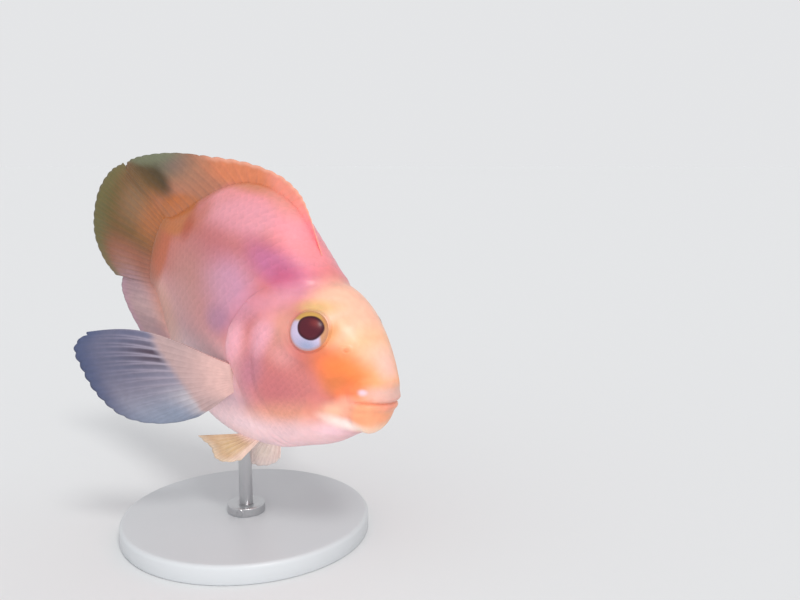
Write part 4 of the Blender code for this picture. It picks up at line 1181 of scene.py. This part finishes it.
# ---------------------------------------------------------------------------------------------------
# Stand: a turned disc of grey acrylic with an eased edge, a brushed stainless rod pressed into it and up
# into the belly, and a turned collar that hides the joint, locked by one small grub screw.
BASE_RADIUS, BASE_THICKNESS, BASE_BEVEL = 46.0, 7.0, 1.6
ROD_RADIUS, ROD_FOOT, ROD_TOP = 2.5, 3.0, 45.0
COLLAR_RADIUS, COLLAR_TOP, COLLAR_CHAMFER = 7.0, 10.3, 0.5
SCREW_RADIUS, SCREW_HEX, SCREW_HEIGHT, SCREW_TURN = 1.5, 0.85, 8.7, math.radians(-62)
SCREW_PROUD, SCREW_ROOT, SCREW_POCKET, SCREW_ROUND = 0.15, 1.2, 0.8, 24
TURNED_CORNER = math.radians(40)               # turned edges sharper than this stay crisp
ACRYLIC_GREY, STEEL_GREY = "#C3C6C9", "#C4C4C6"


def turned(profile, segments):
    """A closed lathe shape round the stand's axis, from (radius, height) points going up outside."""
    angles = np.linspace(0, 2 * np.pi, segments, endpoint=False)
    rings = [np.stack([radius * np.cos(angles), radius * np.sin(angles), np.full(segments, height)], -1)
             for radius, height in profile]
    poles = [[0, 0, profile[0][1]], [0, 0, profile[-1][1]]]
    return np.concatenate([*rings, poles]) * MM, ring_faces(len(profile), segments)


def eased(corner_radius, corner_height, ease_radius, steps=7):
    """The quarter round that eases an upper outer corner."""
    return [(corner_radius - ease_radius * (1 - math.cos(turn)),
             corner_height - ease_radius * (1 - math.sin(turn)))
            for turn in np.linspace(0, np.pi / 2, steps)]


# cast acrylic rubbed to a satin: an even light grey with a wide soft sheen
acrylic, tree, shader, place = new_material("satin_grey_acrylic", Roughness=0.3, IOR=1.49)
shader.inputs["Base Color"].default_value = (*linear(ACRYLIC_GREY), 1)
# faint cloudiness of the satin finish, about 12 mm across
cloud = add_node(tree, "ShaderNodeTexNoise", {"Vector": place, "Scale": 80.0, "Detail": 2.0})
rough = add_node(tree, "ShaderNodeMapRange", {"Value": cloud.outputs["Fac"], "From Min": 0.35,
                                              "From Max": 0.7, "To Min": 0.32, "To Max": 0.38})
tree.links.new(rough.outputs["Result"], shader.inputs["Roughness"])

# brushed stainless steel: long soft highlights broken by fine rings of grain
steel, tree, shader, place = new_material("brushed_stainless_steel", Metallic=1.0, Roughness=0.3)
shader.inputs["Base Color"].default_value = (*linear(STEEL_GREY), 1)
# brushing marks round the axis, 0.15 mm apart up the rod
lay = add_node(tree, "ShaderNodeMapping", {"Vector": place, "Scale": (60.0, 60.0, 6600.0)}).outputs[0]
brush = add_node(tree, "ShaderNodeTexNoise", {"Vector": lay, "Scale": 1.0, "Detail": 3.0}).outputs["Fac"]
rough = add_node(tree, "ShaderNodeMapRange", {"Value": brush, "To Min": 0.24, "To Max": 0.42})
tree.links.new(rough.outputs["Result"], shader.inputs["Roughness"])
score = add_node(tree, "ShaderNodeBump", {"Height": brush, "Strength": 0.12, "Distance": 0.00004})
tree.links.new(score.outputs["Normal"], shader.inputs["Normal"])

base_profile = [(BASE_RADIUS - 1.0, 0.0), (BASE_RADIUS - 0.35, 0.15), (BASE_RADIUS, 0.7)]
base_profile += eased(BASE_RADIUS, BASE_THICKNESS, BASE_BEVEL) + [(BASE_RADIUS - 3, BASE_THICKNESS)]
collar_profile = [(COLLAR_RADIUS - 0.2, BASE_THICKNESS), (COLLAR_RADIUS, BASE_THICKNESS + 0.2)]
collar_profile += eased(COLLAR_RADIUS, COLLAR_TOP, COLLAR_CHAMFER, 5) + [(ROD_RADIUS + 0.8, COLLAR_TOP)]
collar_profile += [(ROD_RADIUS + 0.3, COLLAR_TOP - 0.3), (ROD_RADIUS - 0.4, COLLAR_TOP - 0.35)]
rod_profile = [(ROD_RADIUS, ROD_FOOT), (ROD_RADIUS, (ROD_FOOT + ROD_TOP) / 2), (ROD_RADIUS, ROD_TOP)]
for name, profile, segments, material, slot in (
        ("stand_base", base_profile, 144, acrylic, "stand_base"),
        ("stand_collar", collar_profile, 72, steel, "stand_steel"),
        ("stand_rod", rod_profile, 48, steel, "stand_steel")):
    piece = new_piece(f"{name}_turned", *turned(profile, segments), material)
    piece.data.set_sharp_from_angle(angle=TURNED_CORNER)
    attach(piece, "root")
    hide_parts(name)

# the grub screw: a short round plug with a hexagon socket, set in the collar's side
screw_angles = np.linspace(0, 2 * np.pi, SCREW_ROUND, endpoint=False)
hex_reach = SCREW_HEX / np.cos((screw_angles + np.pi / 6) % (np.pi / 3) - np.pi / 6)
screw_rings = [(SCREW_RADIUS, -SCREW_ROOT), (SCREW_RADIUS, 0.0), (SCREW_RADIUS - SCREW_PROUD, SCREW_PROUD),
               (hex_reach, SCREW_PROUD), (hex_reach, -SCREW_POCKET)]
screw_out = np.array([math.cos(SCREW_TURN), math.sin(SCREW_TURN), 0])
screw_side = np.array([-math.sin(SCREW_TURN), math.cos(SCREW_TURN), 0])
screw_points = []
for reach, depth in (*screw_rings, (0, -SCREW_ROOT), (0, -SCREW_POCKET)):      # the poles come last
    across = (reach * np.cos(screw_angles))[:, None] * screw_side
    upright = (reach * np.sin(screw_angles))[:, None] * [0, 0, 1]
    ring = across + upright + screw_out * (COLLAR_RADIUS + depth) + [0, 0, SCREW_HEIGHT]
    screw_points.append(ring if np.any(reach) else ring[:1])
screw = new_piece("stand_grub_screw", np.concatenate(screw_points) * MM,
                  ring_faces(len(screw_rings), SCREW_ROUND), steel)
screw.data.set_sharp_from_angle(angle=TURNED_CORNER)
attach(screw, "root")

# ---------------------------------------------------------------------------------------------------
# Plain studio: a matt painted floor that meets an even pale backdrop, a soft sun high in front of the
# fish and to its right, a low lamp that lifts the shade under it, and the camera.
FLOOR_COLOUR, BACKDROP_COLOUR, BACKDROP_LIGHT = "#E2E3E4", "#FCFDFF", 0.80
FLOOR_HALF = 60.0              # metres, so that the floor runs to the horizon
FISH_HEIGHT = 0.08             # the fish's middle over the floor, which the lamps are aimed at
SUN_PLACE, SUN_POWER, SUN_SPREAD = (0.75, -0.35, 1.0), 1.0, math.radians(14)
SUN_COLOUR = (1.0, 0.98, 0.95)
FILL_PLACE, FILL_POWER, FILL_SIZE = (0.23, -0.28, -0.066), 1.05, 0.26
CAMERA_PLACE = (0.24008733, -0.20165177, 0.13632719)
CAMERA_AZIMUTH, CAMERA_ELEVATION, VIEW_ANGLE = math.radians(39.3), math.radians(9.0), math.radians(50)

# matt paint: takes the soft shadow and shows no highlight
floor_paint, _, shader, _ = new_material("pale_matt_floor", Roughness=0.95, Specular_IOR_Level=0.1)
shader.inputs["Base Color"].default_value = (*linear(FLOOR_COLOUR), 1)
floor_corners = [(FLOOR_HALF * a, FLOOR_HALF * b, 0) for a, b in ((-1, -1), (1, -1), (1, 1), (-1, 1))]
floor = new_piece("floor", floor_corners, [(0, 1, 2, 3)], floor_paint)

world = bpy.data.worlds.new("studio")
world.use_nodes = True
backdrop = world.node_tree.nodes["Background"].inputs
backdrop["Color"].default_value = (*linear(BACKDROP_COLOUR), 1)
backdrop["Strength"].default_value = BACKDROP_LIGHT
bpy.context.scene.world = world


def lamp(name, kind, towards, power, shine=True, lit=None, **settings):
    """A lamp at an offset from the fish, turned to face it.

    shine lets it show in glossy surfaces, and lit is the collection it lights, if not everything."""
    light = bpy.data.lights.new(name, kind)
    light.energy = power
    for label, value in settings.items():
        setattr(light, label, value)
    holder = bpy.data.objects.new(name, light)
    holder.location = Vector(towards) + Vector((0, 0, FISH_HEIGHT))
    holder.rotation_euler = (-Vector(towards)).to_track_quat("-Z", "Y").to_euler()
    holder.visible_glossy = shine
    holder.visible_camera = False
    holder.light_linking.receiver_collection = lit
    bpy.context.scene.collection.objects.link(holder)


lamp("key_sun", "SUN", SUN_PLACE, SUN_POWER, angle=SUN_SPREAD, color=SUN_COLOUR)
model = bpy.data.collections.new("model_without_floor")
for piece in bpy.context.scene.objects:
    if piece.type == "MESH" and piece is not floor:
        model.objects.link(piece)
lamp("low_fill", "AREA", FILL_PLACE, FILL_POWER, shine=False, lit=model, shape="DISK", size=FILL_SIZE)

lens = bpy.data.cameras.new("camera")
lens.sensor_width = 36.0
lens.angle = VIEW_ANGLE
lens.clip_start = 0.01
camera = bpy.data.objects.new("camera", lens)
camera.location = CAMERA_PLACE
camera.rotation_euler = (math.pi / 2 - CAMERA_ELEVATION, 0, CAMERA_AZIMUTH)
bpy.context.scene.collection.objects.link(camera)
bpy.context.scene.camera = camera
bpy.context.scene.view_settings.view_transform = "Standard"
